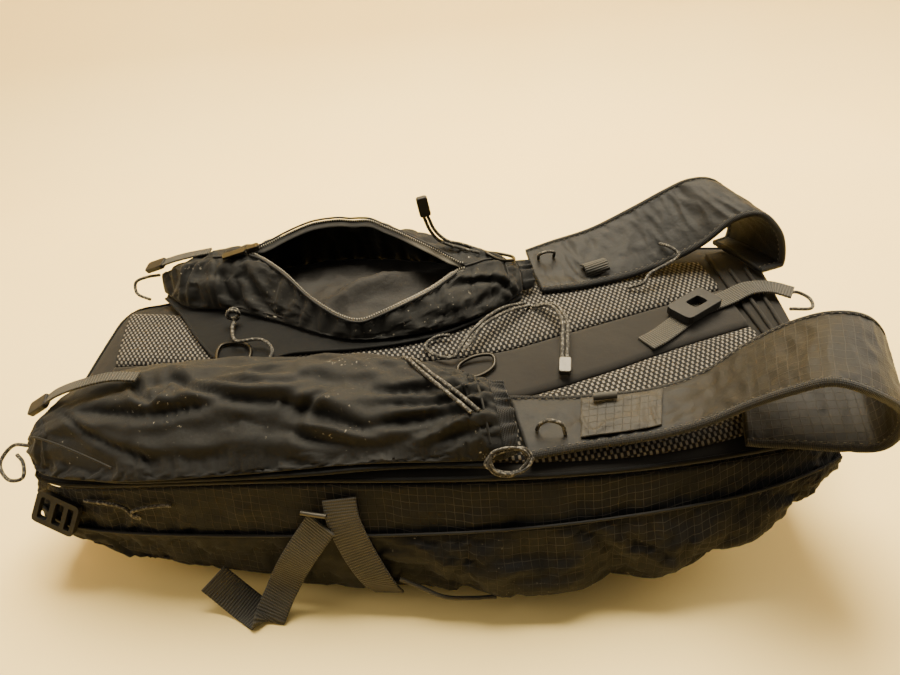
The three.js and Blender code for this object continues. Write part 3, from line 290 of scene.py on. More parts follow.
def keep(obj, slot, *nodes, body="pack"):
    """Sets the body that a piece rides and the nodes that it replaces; its finish slot is not used."""
    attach(obj, body)
    if nodes:
        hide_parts(*nodes)
    return obj


# Smooth lines through given places
def line(places, count=24, closed=False):
    p = np.array(places, float)
    p = np.vstack([p[-1], p, p[0], p[1]]) if closed else np.vstack(
        [2 * p[0] - p[1], p, 2 * p[-1] - p[-2]]
    )
    out = []
    for k in range(1, len(p) - 2):
        t = np.cumsum([0] + [max(np.linalg.norm(p[k + i] - p[k + i - 1]), 1e-6) ** 0.5 for i in (0, 1, 2)])
        for s in np.linspace(t[1], t[2], count, endpoint=False):
            a = [mix(p[k - 1 + i], p[k + i], (s - t[i]) / (t[i + 1] - t[i])) for i in range(3)]
            b = [mix(a[i], a[i + 1], (s - t[i]) / (t[i + 2] - t[i])) for i in range(2)]
            out.append(mix(b[0], b[1], (s - t[1]) / (t[2] - t[1])))
    if not closed:
        out.append(p[-2])
    out = np.array(out)
    if closed:
        out = np.vstack([out, out[:1]])
    run = np.concatenate([[0], np.cumsum(np.linalg.norm(np.diff(out, axis=0), axis=1))])
    wanted = np.linspace(0, run[-1], max(len(places) * 5, 15))
    out = np.stack([np.interp(wanted, run, out[:, i]) for i in range(3)], 1)
    return out[:-1] if closed else out


def round_line(name, places, diameter, material, closed=False, sides=3):
    data = bpy.data.curves.new(name, "CURVE")
    data.dimensions = "3D"
    data.bevel_depth = diameter / 2000
    data.bevel_resolution = sides
    data.use_fill_caps = True
    spline = data.splines.new("POLY")
    route = (line(places, closed=closed) + SHIFT) / 1000
    spline.points.add(len(route) - 1)
    for spot, p in zip(spline.points, route):
        spot.co = (*p, 1)
    spline.use_cyclic_u = closed
    spline.use_smooth = True
    data.materials.append(material)
    obj = bpy.data.objects.new(name, data)
    bpy.context.scene.collection.objects.link(obj)
    return obj, route


# Repeats: a Geometry Nodes group sets one small mesh along a line at an even step.
def row_group():
    group = bpy.data.node_groups.new("row_along_line", "GeometryNodeTree")
    face = group.interface
    face.new_socket("Geometry", in_out="INPUT", socket_type="NodeSocketGeometry")
    for name, kind in (("Step", "Float"), ("Piece", "Object"), ("Finish", "Material")):
        face.new_socket(name, in_out="INPUT", socket_type="NodeSocket" + kind)
    face.new_socket("Geometry", in_out="OUTPUT", socket_type="NodeSocketGeometry")
    nodes, links = group.nodes, group.links
    source = nodes.new("NodeGroupInput")
    even = nodes.new("GeometryNodeResampleCurve")
    even.mode = "LENGTH"
    info = nodes.new("GeometryNodeObjectInfo")
    place = nodes.new("GeometryNodeInstanceOnPoints")
    along = nodes.new("GeometryNodeInputTangent")
    across = nodes.new("GeometryNodeInputNormal")
    turn = nodes.new("FunctionNodeAxesToRotation")
    turn.primary_axis = "X"
    turn.secondary_axis = "Z"
    real = nodes.new("GeometryNodeRealizeInstances")
    finish = nodes.new("GeometryNodeSetMaterial")
    end = nodes.new("NodeGroupOutput")
    links.new(source.outputs["Geometry"], even.inputs["Curve"])
    links.new(source.outputs["Step"], even.inputs["Length"])
    links.new(source.outputs["Piece"], info.inputs["Object"])
    links.new(even.outputs[0], place.inputs["Points"])
    links.new(info.outputs["Geometry"], place.inputs["Instance"])
    links.new(along.outputs[0], turn.inputs["Primary Axis"])
    links.new(across.outputs[0], turn.inputs["Secondary Axis"])
    links.new(turn.outputs[0], place.inputs["Rotation"])
    links.new(place.outputs[0], real.inputs[0])
    links.new(real.outputs[0], finish.inputs["Geometry"])
    links.new(source.outputs["Finish"], finish.inputs["Material"])
    links.new(finish.outputs[0], end.inputs[0])
    return group


ROW = row_group()


def small_box(name, length, width, height):
    """A pillow-shaped bit, such as one stitch or one zip tooth, in millimetres."""
    corners = [[x, y, z] for x in (-1, 1) for y in (-1, 1) for z in (-1, 1)]
    obj = mesh_of(
        name,
        np.array(corners) * (length / 2, width / 2, height / 2) - SHIFT,
        [(0, 1, 3, 2), (4, 6, 7, 5), (0, 4, 5, 1), (2, 3, 7, 6), (0, 2, 6, 4), (1, 5, 7, 3)],
    )
    finer = obj.modifiers.new("soft", "SUBSURF")
    finer.levels = finer.render_levels = 1
    return plain(obj)


def repeat(name, routes, step, bit, material):
    """Copies of a bit along one or more routes, each a list of places and the up side there."""
    data = bpy.data.curves.new(name + "_line", "CURVE")
    data.dimensions = "3D"
    data.twist_mode = "Z_UP"
    for places in routes:
        spline = data.splines.new("POLY")
        spline.points.add(len(places) - 1)
        for spot, p in zip(spline.points, (np.asarray(places) + SHIFT) / 1000):
            spot.co = (*p, 1)
    obj = bpy.data.objects.new(name + "_line", data)
    bpy.context.scene.collection.objects.link(obj)
    maker = obj.modifiers.new("row", "NODES")
    maker.node_group = ROW
    for item in ROW.interface.items_tree:
        if item.in_out == "INPUT" and item.name == "Step":
            maker[item.identifier] = step / 1000
        if item.in_out == "INPUT" and item.name == "Piece":
            maker[item.identifier] = bit
        if item.in_out == "INPUT" and item.name == "Finish":
            maker[item.identifier] = material
    evaluated = obj.evaluated_get(bpy.context.evaluated_depsgraph_get())
    mesh = bpy.data.meshes.new_from_object(evaluated)
    mesh.name = name
    bpy.data.objects.remove(obj)
    made = bpy.data.objects.new(name, mesh)
    bpy.context.scene.collection.objects.link(made)
    if not mesh.materials:
        mesh.materials.append(material)
    return made


# Shader maths on sockets, and the nodes of one material.
class Sock:
    def __init__(self, paint, value):
        self.paint = paint
        self.value = value

    def _math(self, kind, *others):
        return self.paint.node("ShaderNodeMath", {"operation": kind}, self, *others)

    def __add__(self, other):
        return self._math("ADD", other)

    __radd__ = __add__

    def __sub__(self, other):
        return self._math("SUBTRACT", other)

    def __mul__(self, other):
        return self._math("MULTIPLY", other)

    __rmul__ = __mul__

    def __truediv__(self, other):
        return self._math("DIVIDE", other)

    def abs(self):
        return self._math("ABSOLUTE")

    def sin(self):
        return self._math("SINE")

    def fract(self):
        return self._math("FRACT")

    def most(self, other):
        return self._math("MAXIMUM", other)

    def ramp(self, low, high):
        return self.paint.node(
            "ShaderNodeMapRange",
            {"interpolation_type": "SMOOTHSTEP", "clamp": True},
            Value=self,
            From_Min=low,
            From_Max=high,
        )


class Paint:
    """One material: its nodes, and the few values that vary over the surface."""

    def __init__(self, name, roughness=0.8, metallic=0.0, sheen=0.0, coat=0.0):
        self.material = bpy.data.materials.new(name)
        self.material.use_nodes = True
        self.tree = self.material.node_tree
        self.shader = self.tree.nodes["Principled BSDF"]
        self.shader.inputs["Roughness"].default_value = roughness
        self.shader.inputs["Metallic"].default_value = metallic
        self.shader.inputs["Sheen Weight"].default_value = sheen
        self.shader.inputs["Sheen Roughness"].default_value = 0.4
        self.shader.inputs["Coat Weight"].default_value = coat
        self.shader.inputs["Specular IOR Level"].default_value = 0.35

    def node(self, kind, settings=None, *values, out=0, **named):
        made = self.tree.nodes.new(kind)
        for key, value in (settings or {}).items():
            setattr(made, key, value)
        pairs = [(made.inputs[i], v) for i, v in enumerate(values)]
        pairs += [(made.inputs[key.replace("_", " ")], v) for key, v in named.items()]
        for socket, value in pairs:
            if isinstance(value, Sock):
                self.tree.links.new(value.value, socket)
            else:
                socket.default_value = value
        return Sock(self, made.outputs[out])

    def uv(self):
        where = self.node("ShaderNodeUVMap", {"uv_map": "cloth"})
        parts = self.tree.nodes.new("ShaderNodeSeparateXYZ")
        self.tree.links.new(where.value, parts.inputs[0])
        return Sock(self, parts.outputs[0]) * 1000, Sock(self, parts.outputs[1]) * 1000

    def place(self):
        return self.node("ShaderNodeTexCoord", out=3)

    def noise(self, size, detail=3.0, where=None, roughness=0.55):
        return self.node(
            "ShaderNodeTexNoise",
            {"noise_dimensions": "3D"},
            Vector=where or self.place(),
            Scale=1000 / size,
            Detail=detail,
            Roughness=roughness,
        )

    def colour(self, a, b, share):
        made = self.tree.nodes.new("ShaderNodeMix")
        made.data_type = "RGBA"
        for socket, value in ((made.inputs[0], share), (made.inputs[6], a), (made.inputs[7], b)):
            if isinstance(value, Sock):
                self.tree.links.new(value.value, socket)
            else:
                socket.default_value = (*value, 1) if isinstance(value, tuple) else value
        return Sock(self, made.outputs[2])

    def base(self, value):
        self.tree.links.new(value.value, self.shader.inputs["Base Color"])

    def rough(self, value):
        self.tree.links.new(value.value, self.shader.inputs["Roughness"])

    def bump(self, height, distance, strength=1.0):
        made = self.node(
            "ShaderNodeBump", None, Strength=strength, Distance=distance / 1000, Height=height
        )
        self.tree.links.new(made.value, self.shader.inputs["Normal"])


def rgb(r, g, b):
    """A screen colour from 0 to 255 as the light it gives back."""
    return tuple(((v / 255 + 0.055) / 1.055) ** 2.4 if v > 10 else v / 3294.6 for v in (r, g, b))


def shade(colour, f):
    return tuple(min(c * f, 1) for c in colour)


def woven(
    name,
    colour,
    worn,
    pitch=0.9,
    roughness=0.85,
    sheen=0.04,
    wrinkle=0.0,
    dust=0.0,
    grid=0.0,
    grid_from=None,
    light_lines=0.5,
):
    """Cloth with threads both ways, a little fading, dust and fine creasing. Ripstop also has a
    grid of thicker threads, a step of grid mm apart, lighter by light_lines."""
    paint = Paint(name, roughness=roughness, sheen=sheen)
    paint.shader.inputs["Specular IOR Level"].default_value = 0.22
    u, v = paint.uv()
    fade = paint.noise(45, 4).ramp(0.35, 0.7)
    fine = paint.noise(2.2, 2)
    warp = (u * (2 * np.pi / pitch)).sin()
    weft = (v * (2 * np.pi / pitch)).sin()
    weave = (warp * weft) * 0.5 + 0.5
    tone = paint.colour(shade(colour, 0.82), shade(colour, 1.18), weave * 0.45 + fine * 0.55)
    tone = paint.colour(tone, worn, fade * 0.45)
    height = weave * 0.25 + fine * 0.35
    if grid:
        lines = ((u / grid).fract() - 0.5).abs().most(((v / grid).fract() - 0.5).abs()).ramp(0.455, 0.49)
        if grid_from is not None:
            lines = lines * u.ramp(grid_from, grid_from + 50)
        patchy = paint.noise(30, 2).ramp(0.3, 0.6)
        tone = paint.colour(tone, rgb(66, 61, 53), lines * patchy * light_lines)
        height = height + lines * 0.9
    if wrinkle:
        big = paint.noise(wrinkle, 3, roughness=0.5)
        height = height + big * 4
    if dust:
        specks = paint.noise(3.2, 2, roughness=0.7).ramp(0.66, 0.74)
        patch = paint.noise(38, 2).ramp(0.45, 0.7)
        tone = paint.colour(tone, rgb(178, 168, 148), specks * patch * dust)
    paint.base(tone)
    paint.bump(height, 0.35, 0.8)
    return paint.material


def webbing_cloth(name, colour, rib=1.5, painted_highlight_from=None):
    """Woven tape: ribs across it in a shallow chevron, and a firmer edge."""
    paint = Paint(name, roughness=0.75, sheen=0.04)
    u, v = paint.uv()
    ribs = (u * (2 * np.pi / rib)).sin() * 0.5 + 0.5
    threads = (v * (2 * np.pi / 1.1)).sin() * 0.5 + 0.5
    fine = paint.noise(1.6, 2)
    fade = paint.noise(30, 3).ramp(0.4, 0.7)
    # The rib crests are painted lighter and the grooves darker, as painted highlight and shade on the ribs.
    tone = paint.colour(shade(colour, 0.3), shade(colour, 1.8), ribs * (threads * 0.5 + 0.4) + fine * 0.1)
    tone = paint.colour(tone, shade(colour, 1.7), fade * 0.25)
    # Further along the tape its ribs are painted pale, as a painted highlight where the light falls on that
    # part of the tape.
    if painted_highlight_from is not None:
        painted_highlight = u.ramp(painted_highlight_from, painted_highlight_from + 30)
        tone = paint.colour(tone, rgb(126, 119, 104), painted_highlight * (ribs * 0.5 + 0.4))
    paint.base(tone)
    paint.bump(ribs + threads * 0.35, 0.5, 1.0)
    return paint.material


def open_mesh(name, strand, hole, pitch=4.6):
    """Spacer mesh: light strands that cross on a slant, with dark gaps between them."""
    paint = Paint(name, roughness=0.9)
    u, v = paint.uv()
    a = (u + v * 0.62) / pitch
    b = (u - v * 0.62) / pitch
    ridge = (a * (2 * np.pi)).sin() + (b * (2 * np.pi)).sin()
    bars = (ridge * 0.5).ramp(-0.15, 0.45)
    fine = paint.noise(1.4, 2)
    far = paint.noise(60, 2).ramp(0.35, 0.65)
    light = paint.colour(shade(strand, 0.75), shade(strand, 1.25), fine * 0.6 + far * 0.4)
    paint.base(paint.colour(hole, light, bars))
    paint.bump(bars + fine * 0.12, 1.4, 1.0)
    return paint.material


def moulded(name, colour, roughness, metallic=0.0, scratch=0.3):
    paint = Paint(name, roughness=roughness, metallic=metallic)
    grain = paint.noise(0.8, 2)
    wear = paint.noise(7, 4).ramp(0.5, 0.72)
    paint.base(paint.colour(shade(colour, 0.9), shade(colour, 1.6), wear * scratch + grain * 0.1))
    paint.rough(grain * 0.15 + wear * 0.12 + (roughness - 0.1))
    paint.bump(grain, 0.05, 0.4)
    return paint.material


def braid(name, colour, fleck):
    paint = Paint(name, roughness=0.7, sheen=0.04)
    fine = paint.noise(0.9, 1)
    flecks = paint.noise(1.7, 2).ramp(0.5, 0.62)
    paint.base(paint.colour(shade(colour, 0.8), fleck, flecks * 0.55 + fine * 0.1))
    paint.bump(fine, 0.25, 0.9)
    return paint.material


# Cloths, tapes, mesh, cords and hard finishes, each a material for one group of pieces.
RIPSTOP = woven(
    "ripstop", rgb(4, 5, 7), rgb(9, 10, 12), pitch=0.8, grid=5.0, wrinkle=16, roughness=0.7, light_lines=0.9
)
BELLY = woven(
    "belly_cloth",
    rgb(5, 6, 8),
    rgb(11, 12, 14),
    pitch=0.8,
    grid=5.0,
    wrinkle=14,
    dust=0.4,
    roughness=0.68,
    grid_from=230,
    light_lines=0.8,
)
POCKET = woven(
    "pocket_cloth", rgb(19, 18, 15), rgb(30, 28, 24), pitch=0.7, wrinkle=14, dust=0.6, roughness=0.72
)
PANEL = woven("panel_cloth", rgb(27, 25, 22), rgb(38, 35, 31), pitch=1.3, wrinkle=30, roughness=0.85)
# Near-black cloth that stands for painted shade: it is used on the chest panels and the back panel's rim
# piping, which lie in shadow.
SHADED = woven("shaded_cloth", rgb(8, 8, 7), rgb(12, 11, 10), pitch=0.9, wrinkle=20, roughness=0.9)
STRAP = woven(
    "strap_cloth",
    rgb(15, 14, 12),
    rgb(27, 25, 21),
    pitch=0.9,
    wrinkle=12,
    grid=6.0,
    roughness=0.6,
    grid_from=120,
    light_lines=0.55,
)
STRAP_PLAIN = woven(
    "strap_cloth_plain", rgb(15, 14, 12), rgb(24, 22, 19), pitch=0.9, wrinkle=12, roughness=0.6
)
SLEEVE = woven(
    "sleeve_cloth", rgb(36, 33, 27), rgb(54, 49, 40), pitch=0.8, grid=5.0, wrinkle=12, roughness=0.55
)
LINING = woven("dark_lining", rgb(6, 6, 5), rgb(10, 9, 8), pitch=0.9, wrinkle=10, roughness=0.9)
LOOSE_LINING = woven("loose_lining", rgb(24, 22, 19), rgb(36, 33, 29), pitch=0.9, wrinkle=10, roughness=0.7)
BINDING = webbing_cloth("binding_tape", rgb(18, 17, 15), rib=1.0)
WEBBING = webbing_cloth("webbing_tape", rgb(56, 53, 46), rib=1.9)
SPACER = open_mesh("spacer_mesh", rgb(104, 98, 88), rgb(3, 3, 3), pitch=3.8)
CORD_CLOTH = braid("braided_cord", rgb(16, 15, 13), rgb(128, 121, 107))
THREAD = braid("sewing_thread", rgb(84, 78, 66), rgb(120, 113, 98))
PLASTIC = moulded("hard_plastic", rgb(12, 11, 10), 0.6)
METAL = moulded("dull_metal", rgb(84, 80, 72), 0.5, metallic=0.95)
GUNMETAL = moulded("dark_metal", rgb(46, 43, 38), 0.42, metallic=0.9)
# The zip tape is painted pale from 125 mm along it, as a painted highlight.
ZIP_CLOTH = webbing_cloth("zip_tape_cloth", rgb(34, 31, 27), rib=0.9, painted_highlight_from=125)
ZIP_COIL = moulded("zip_coil_plastic", rgb(176, 168, 150), 0.45)


# Hull sections, as the pack's front is shaped: rims, seam, bulge and keel, from waist to neck.
HULL = table(
    "xNear yNear xFar yFar rimNear rimFar seam out outZ keelIn keelZ",
    [
        [-50, -2, -42.4, 60, 70, 92, 60, 3.2, 53, 5, 45],
        [-45.6, -9, -37, 59, 74, 96, 50, 3.2, 39, 8, 32],
        [-38, -15, -30, 57, 80, 100, 48, 2.8, 27, 10, 18],
        [-28, -21, -22, 54, 86, 102, 51, 3.2, 21, 11, 6],
        [-16, -27, -12, 50.5, 90, 104, 56, 4.8, 20, 12, 0],
        [-4, -33, 0, 48, 92, 105, 61, 6, 20, 12, 0],
        [10, -38.5, 13, 46.5, 92, 106, 65, 6.6, 22, 12, 0],
        [24, -42, 27, 45.5, 92, 106, 69, 6, 31, 12, 5],
        [36, -42.5, 40, 45, 91, 107, 73, 6.4, 48, 11, 21],
        [45, -41.5, 50.6, 42.5, 90, 107, 78, 5.6, 64, 10, 44],
        [50.6, -39, 58, 37, 88, 107, 80, 3.6, 77, 8, 62],
    ],
)
TUCKS = table("x width pinch", [[-3, 3, 0.9], [3.5, 2.4, 0.5], [21, 3.4, 0.85], [34, 2.6, 0.4]])
FRONT_PUFF = 7
POCKET_WALL = 1.6
SHELL_INSET = POCKET_WALL + 0.9


def puff_at(x):
    share = 100 * x / PACK[0]
    kept = 1
    for place, width, pinch in zip(TUCKS["x"], TUCKS["width"], TUCKS["pinch"]):
        kept = kept * (1 - pinch * np.exp(-(((share - place) / width) ** 2)))
    return FRONT_PUFF * smooth((share + 6) / 10) * smooth((46 - share) / 12) * kept


def station_line(u):
    near = point(X(curve(HULL, "xNear", u)), Y(curve(HULL, "yNear", u)), 0)
    far = point(X(curve(HULL, "xFar", u)), Y(curve(HULL, "yFar", u)), 0)
    return near, far, np.linalg.norm(far - near, axis=-1)


def station_point(u, s, z):
    near, far, span = station_line(u)
    p = near + (far - near) * (s / span)[..., None]
    p[..., 2] = z
    return p


def seam_share(u, rim):
    height = Z(curve(HULL, rim, u))
    return (height - Z(curve(HULL, "seam", u))) / (height - Z(curve(HULL, "outZ", u)))


def hull(u, q, inset=0.0, puffed=False):
    """The hull's skin. q runs round a section: 0 to 1 down the near wall, to 2 round the near
    turn, to 3 across the keel, to 4 round the far turn and to 5 up the far wall."""
    near, _, span = station_line(u)
    rim_near, rim_far = Z(curve(HULL, "rimNear", u)), Z(curve(HULL, "rimFar", u))
    out, out_z = Y(curve(HULL, "out", u)), Z(curve(HULL, "outZ", u))
    keel_in, keel_z = Y(curve(HULL, "keelIn", u)), np.maximum(Z(curve(HULL, "keelZ", u)), 0)
    puff = puff_at(near[..., 0]) if puffed else 0 * out
    b = np.clip(q, 0, 1)
    share = seam_share(u, "rimNear")
    below = smooth((b - share) / (1 - share))
    wall = -(out * np.sin(b * np.pi / 2) + puff * below)
    a = np.clip(q - 1, 0, 1) * np.pi / 2
    swell = out + puff
    turn = -(swell - (keel_in + swell) * (1 - np.cos(a)))
    keel = mix(keel_in, span - keel_in, np.clip(q - 2, 0, 1))
    far_out = out * 0.7
    c = np.clip(4 - q, 0, 1) * np.pi / 2
    far_turn = span + far_out - (keel_in + far_out) * (1 - np.cos(c))
    d = np.clip(5 - q, 0, 1)
    far_wall = span + far_out * np.sin(d * np.pi / 2)
    parts = [q < 1, q < 2, q < 3, q < 4]
    s = np.select(parts, [wall, turn, keel, far_turn], far_wall)
    near_drop, far_drop = mix(out_z, keel_z, np.sin(a)), mix(out_z, keel_z, np.sin(c))
    heights = [mix(rim_near, out_z, b), near_drop, keel_z, far_drop]
    z = np.select(parts, heights, mix(rim_far, out_z, d))
    if inset:
        ds, dz = np.gradient(s, axis=1), np.gradient(z, axis=1)
        length = np.maximum(np.hypot(ds, dz), 1e-6)
        s, z = s - dz / length * inset, z + ds / length * inset
    return station_point(u, s, z)


def rim_height(u, t):
    return mix(Z(curve(HULL, "rimNear", u)), Z(curve(HULL, "rimFar", u)), t)


PANEL_PAD = 6
PANEL_CROWN = 4
CHANNEL_PAD = 3
LAYER = GAP + CHANNEL_PAD


def panel_rise(t):
    edge = np.abs(2 * t - 1)
    return GAP + PANEL_PAD * (1 - 0.5 * edge**6) + PANEL_CROWN * (1 - edge * edge)


def deck_point(u, t, rise):
    _, _, span = station_line(u)
    return station_point(u, t * span, rim_height(u, t) + rise)


def deck_top(x, y):
    x, y = np.broadcast_arrays(np.asarray(x, float), np.asarray(y, float))
    low, high = np.zeros(x.shape), np.ones(x.shape)
    for _ in range(24):
        u = (low + high) / 2
        near, far, _ = station_line(u)
        t = np.clip((y - near[..., 1]) / (far[..., 1] - near[..., 1]), 0, 1)
        under = mix(near[..., 0], far[..., 0], t) < x
        low, high = np.where(under, u, low), np.where(under, high, u)
    return rim_height((low + high) / 2, t) + panel_rise(t)


def layer_top(x, y):
    return deck_top(x, y) + LAYER


def on_deck(x, y, lift):
    return np.array([X(x), Y(y), float(layer_top(X(x), Y(y))) + lift])


def at(x, y, z):
    return np.array([X(x), Y(y), Z(z)])


panel_u = np.linspace(0.012, 0.988, 15)[:, None]
panel_t = np.linspace(0.015, 0.985, 7)[None, :]
corners = deck_point(panel_u + 0 * panel_t, panel_t + 0 * panel_u, GAP).reshape(-1, 3)
low, high = (np.array(c) * 1000 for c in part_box("back_panel"))
SHIFT[:2] = ((low + high) / 2 - (corners.min(0) + corners.max(0)) / 2)[:2]
SHIFT[2] = low[2] - corners[:, 2].min()
print("shift of the pack's own places to the frame, in mm:", SHIFT.round(2))


def on_wall(x, z, lift):
    u = share_at(HULL, "xNear", np.array(float(x)))
    q = np.linspace(0, 2, 81)[None, :]
    ring = hull(u + 0 * q, q, puffed=True)[0]
    k = int(np.argmin(np.abs(ring[:, 2] - Z(z))))
    near, far, _ = station_line(u)
    p = ring[k] + unit(near - far) * lift
    p[2] = Z(z)
    return p


def on_shell(x, z, lift):
    return on_wall(x, z, lift - SHELL_INSET)


# Camera: above the near side, looking down along the pack, as the photograph was taken.
yaw, pitch, roll = np.radians((7.5, 36.0, -3.8))
ahead = np.array([np.sin(yaw) * np.cos(pitch), np.cos(yaw) * np.cos(pitch), -np.sin(pitch)])
right = np.array([np.cos(yaw), -np.sin(yaw), 0])
above = np.cross(right, ahead)
turned = right * np.cos(roll) + above * np.sin(roll)
upright = above * np.cos(roll) - right * np.sin(roll)
lens = bpy.data.cameras.new("camera")
lens.lens = 28.08
lens.sensor_width = 36
camera = bpy.data.objects.new("camera", lens)
bpy.context.scene.collection.objects.link(camera)
camera.matrix_world = Matrix.Translation(Vector((np.array([-18, -365, 400]) + SHIFT) / 1000)) @ Matrix(
    np.stack([turned, upright, -ahead], 1).tolist()
).to_4x4()
bpy.context.scene.camera = camera


# Straps, chest panels and chest pockets: padded bands that rise off the panel at the shoulders, with
# cloth pockets on their ends. Their sections come first, since cords, tapes and hooks lie on them.
def band_point(rows, a, b, half):
    x = X(mix(curve(rows, "xa", a), curve(rows, "xb", a), b))
    y = Y(mix(curve(rows, "ya", a), curve(rows, "yb", a), b))
    z = Z(mix(curve(rows, "za", a), curve(rows, "zb", a), b))
    over_piping = (PIPING + GAP) * smooth((x - X(46)) / X(2))
    return point(x, y, np.maximum(z, layer_top(x, y) + GAP + half + over_piping))


PIPING = 2.6
STRAP_HALF = 2.5
STRAP_NEAR = table(
    "xa ya za xb yb zb",
    [
        [11.8, -17, 109, 11.8, -36, 105],
        [20.6, -21, 112, 18, -36.8, 108],
        [29.2, -24, 116, 26, -39, 113],
        [35.2, -24, 123, 31.2, -41.6, 124],
        [40, -23.4, 137, 34.8, -45, 141],
        [43.8, -26.4, 155, 37.4, -50, 159],
        [46.6, -31.4, 169, 39.8, -54.4, 171],
        [50.2, -33.6, 168, 43.8, -56.8, 164],
        [53.6, -32.8, 152, 48.2, -55.6, 146],
        [55.4, -30.6, 131, 50.4, -53.6, 124],
        [54.4, -28, 114, 50.2, -50.8, 106],
        [50.4, -25.6, 110, 46.8, -47.4, 101],
        [45, -25, 108, 42, -44.2, 101],
        [40, -26.4, 106, 37, -41.4, 101],
    ],
)
STRAP_FAR = table(
    "xa ya za xb yb zb",
    [
        [21.8, 43.6, 126, 21.8, 24, 114],
        [26, 44.4, 130, 27.4, 23.4, 115],
        [32.4, 44.4, 137, 34, 24.6, 118],
        [39, 44.8, 150, 41, 25.4, 125],
        [44.4, 45, 162, 46.4, 24.8, 138],
        [47.6, 44, 169, 50.6, 24, 156],
        [50.6, 42.4, 169, 54, 21.4, 161],
        [53, 41.4, 159, 56.6, 19, 149],
        [54.6, 40.6, 141, 58, 18.6, 131],
        [54.4, 39, 122, 57.6, 18, 118],
        [51.6, 36.6, 114, 54.2, 16.6, 113],
    ],
)
VEST_NEAR = table(
    "x near far",
    [
        [-47.6, -5, 4],
        [-43, -10, 11],
        [-36, -16.6, 12],
        [-26, -22.4, 8],
        [-14, -27.6, 1.6],
        [-2, -31.6, -5.6],
        [7, -35.4, -13.6],
    ],
)
VEST_FAR = table(
    "x near far",
    [
        [-35.5, 56, 63],
        [-32, 43, 63],
        [-28.6, 28, 62],
        [-25, 16, 60],
        [-21.4, 10.6, 59.6],
        [-16, 13.6, 58],
        [-8, 11, 55.6],
        [3, 10, 50.4],
        [12, 15.4, 44],
        [18.6, 23, 42],
    ],
)
VEST_PAD = 2.4
VEST_SEAT = 0.8
BAG_SEAT = 0.9
BOTTLE = table(
    "x near far high crest full",
    [
        [-49.6, 0, 5, 8, 0.5, 0.6],
        [-47, -7, 10, 22, 0.5, 0.6],
        [-41, -13.6, 14, 27, 0.52, 0.6],
        [-32, -20, 13, 28, 0.55, 0.55],
        [-20, -25, 8, 27, 0.55, 0.55],
        [-8, -29, 2, 25, 0.55, 0.5],
        [2, -33, -5, 22, 0.5, 0.5],
        [9, -35.4, -12.6, 19, 0.5, 0.5],
    ],
)
ZIPPED = table(
    "x near far high crest full",
    [
        [-36, 60, 66, 12, 0.5, 0.6],
        [-31, 45, 64, 26, 0.5, 0.6],
        [-24.4, 38.6, 61.6, 32, 0.62, 0.6],
        [-17, 28, 60, 36, 0.78, 0.6],
        [-10, 17, 60.4, 43, 0.88, 0.62],
        [-3.6, 12, 58.4, 44, 0.88, 0.62],
        [5.4, 12, 51, 34, 0.8, 0.6],
        [14, 17.4, 43.4, 23, 0.6, 0.55],
        [19, 24.6, 38, 13, 0.5, 0.5],
    ],
)
BOTTLE_FOLDS = table(
    "x0 x1 v0 v1 deep half",
    [
        [-44, -14, 0.55, 0.62, 5, 7],
        [-20, 6, 0.6, 0.4, 5, 7],
        [-36, -6, 0.78, 0.8, 3.5, 6],
        [-34, 4, 0.26, 0.16, 4, 6],
        [-8, 8, 0.68, 0.7, 3.5, 5],
    ],
)
ZIPPED_FOLDS = table(
    "x0 x1 v0 v1 deep half",
    [[-31, -20, 0.3, 0.26, 4, 5], [-27, -14, 0.1, 0.1, 3, 5], [10, 19, 0.75, 0.7, 2.5, 5]],
)


def vest_top(x, y):
    return layer_top(x, y) + VEST_SEAT + VEST_PAD


def bag_at(rows, folds, a, v):
    """The top of a pocket: a runs along it, v from its near edge to its far edge."""
    a, v = np.broadcast_arrays(np.asarray(a, float), np.asarray(v, float))
    x = X(curve(rows, "x", a))
    near, far = Y(curve(rows, "near", a)), Y(curve(rows, "far", a))
    crest = curve(rows, "crest", a)
    w = np.where(v < crest, 0.5 * v / crest, 0.5 + 0.5 * (v - crest) / (1 - crest))
    arch = np.maximum(np.sin(np.pi * w), 0) ** curve(rows, "full", a)
    rise = Z(curve(rows, "high", a)) * arch
    share = 100 * x / PACK[0]
    for k in range(len(folds["x0"])):
        g = (share - folds["x0"][k]) / (folds["x1"][k] - folds["x0"][k])
        inside = (g > 0) & (g < 1)
        away = (v - mix(folds["v0"][k], folds["v1"][k], g)) * (far - near)
        deep = folds["deep"][k] * np.sin(np.pi * np.clip(g, 0, 1)) ** 0.6
        dip = deep * np.exp(-((away / folds["half"][k]) ** 2)) * np.minimum(1, rise / 12)
        rise = rise - np.where(inside, dip, 0)
    y = mix(near, far, v)
    return point(x, y, vest_top(x, y) + BAG_SEAT + 1 + rise)


def bag_top(rows, folds, x, y):
    a = share_at(rows, "x", np.array(100.0 * x / PACK[0]))
    near, far = Y(curve(rows, "near", a)), Y(curve(rows, "far", a))
    return float(bag_at(rows, folds, a, np.clip((y - near) / (far - near), 0, 1))[..., 2])


def over_bottle(x, y, lift):
    return np.array([X(x), Y(y), bag_top(BOTTLE, BOTTLE_FOLDS, X(x), Y(y)) + lift])


def over_zipped(x, y, lift):
    return np.array([X(x), Y(y), bag_top(ZIPPED, ZIPPED_FOLDS, X(x), Y(y)) + lift])


def over_band(rows, a, b, lift):
    step = 1e-3
    here = band_point(rows, np.array(a), np.array(b), STRAP_HALF)
    ahead = band_point(rows, np.array(a + step), np.array(b), STRAP_HALF) - here
    across = band_point(rows, np.array(a), np.array(b + step), STRAP_HALF) - here
    normal = unit(np.cross(across, ahead))
    if rows["ya"][0] < rows["yb"][0]:
        normal = -normal
    return here + normal * (STRAP_HALF + lift)


# Cords: elastic in a flecked braided sheath, 2.4 mm thick. Each is sewn into a seam, knotted or
# threaded, and springs up in short loops and arcs. Some ends carry a metal ferrule or a moulded tag.
CORD = 2.4
CORD_SEAT = 0.9


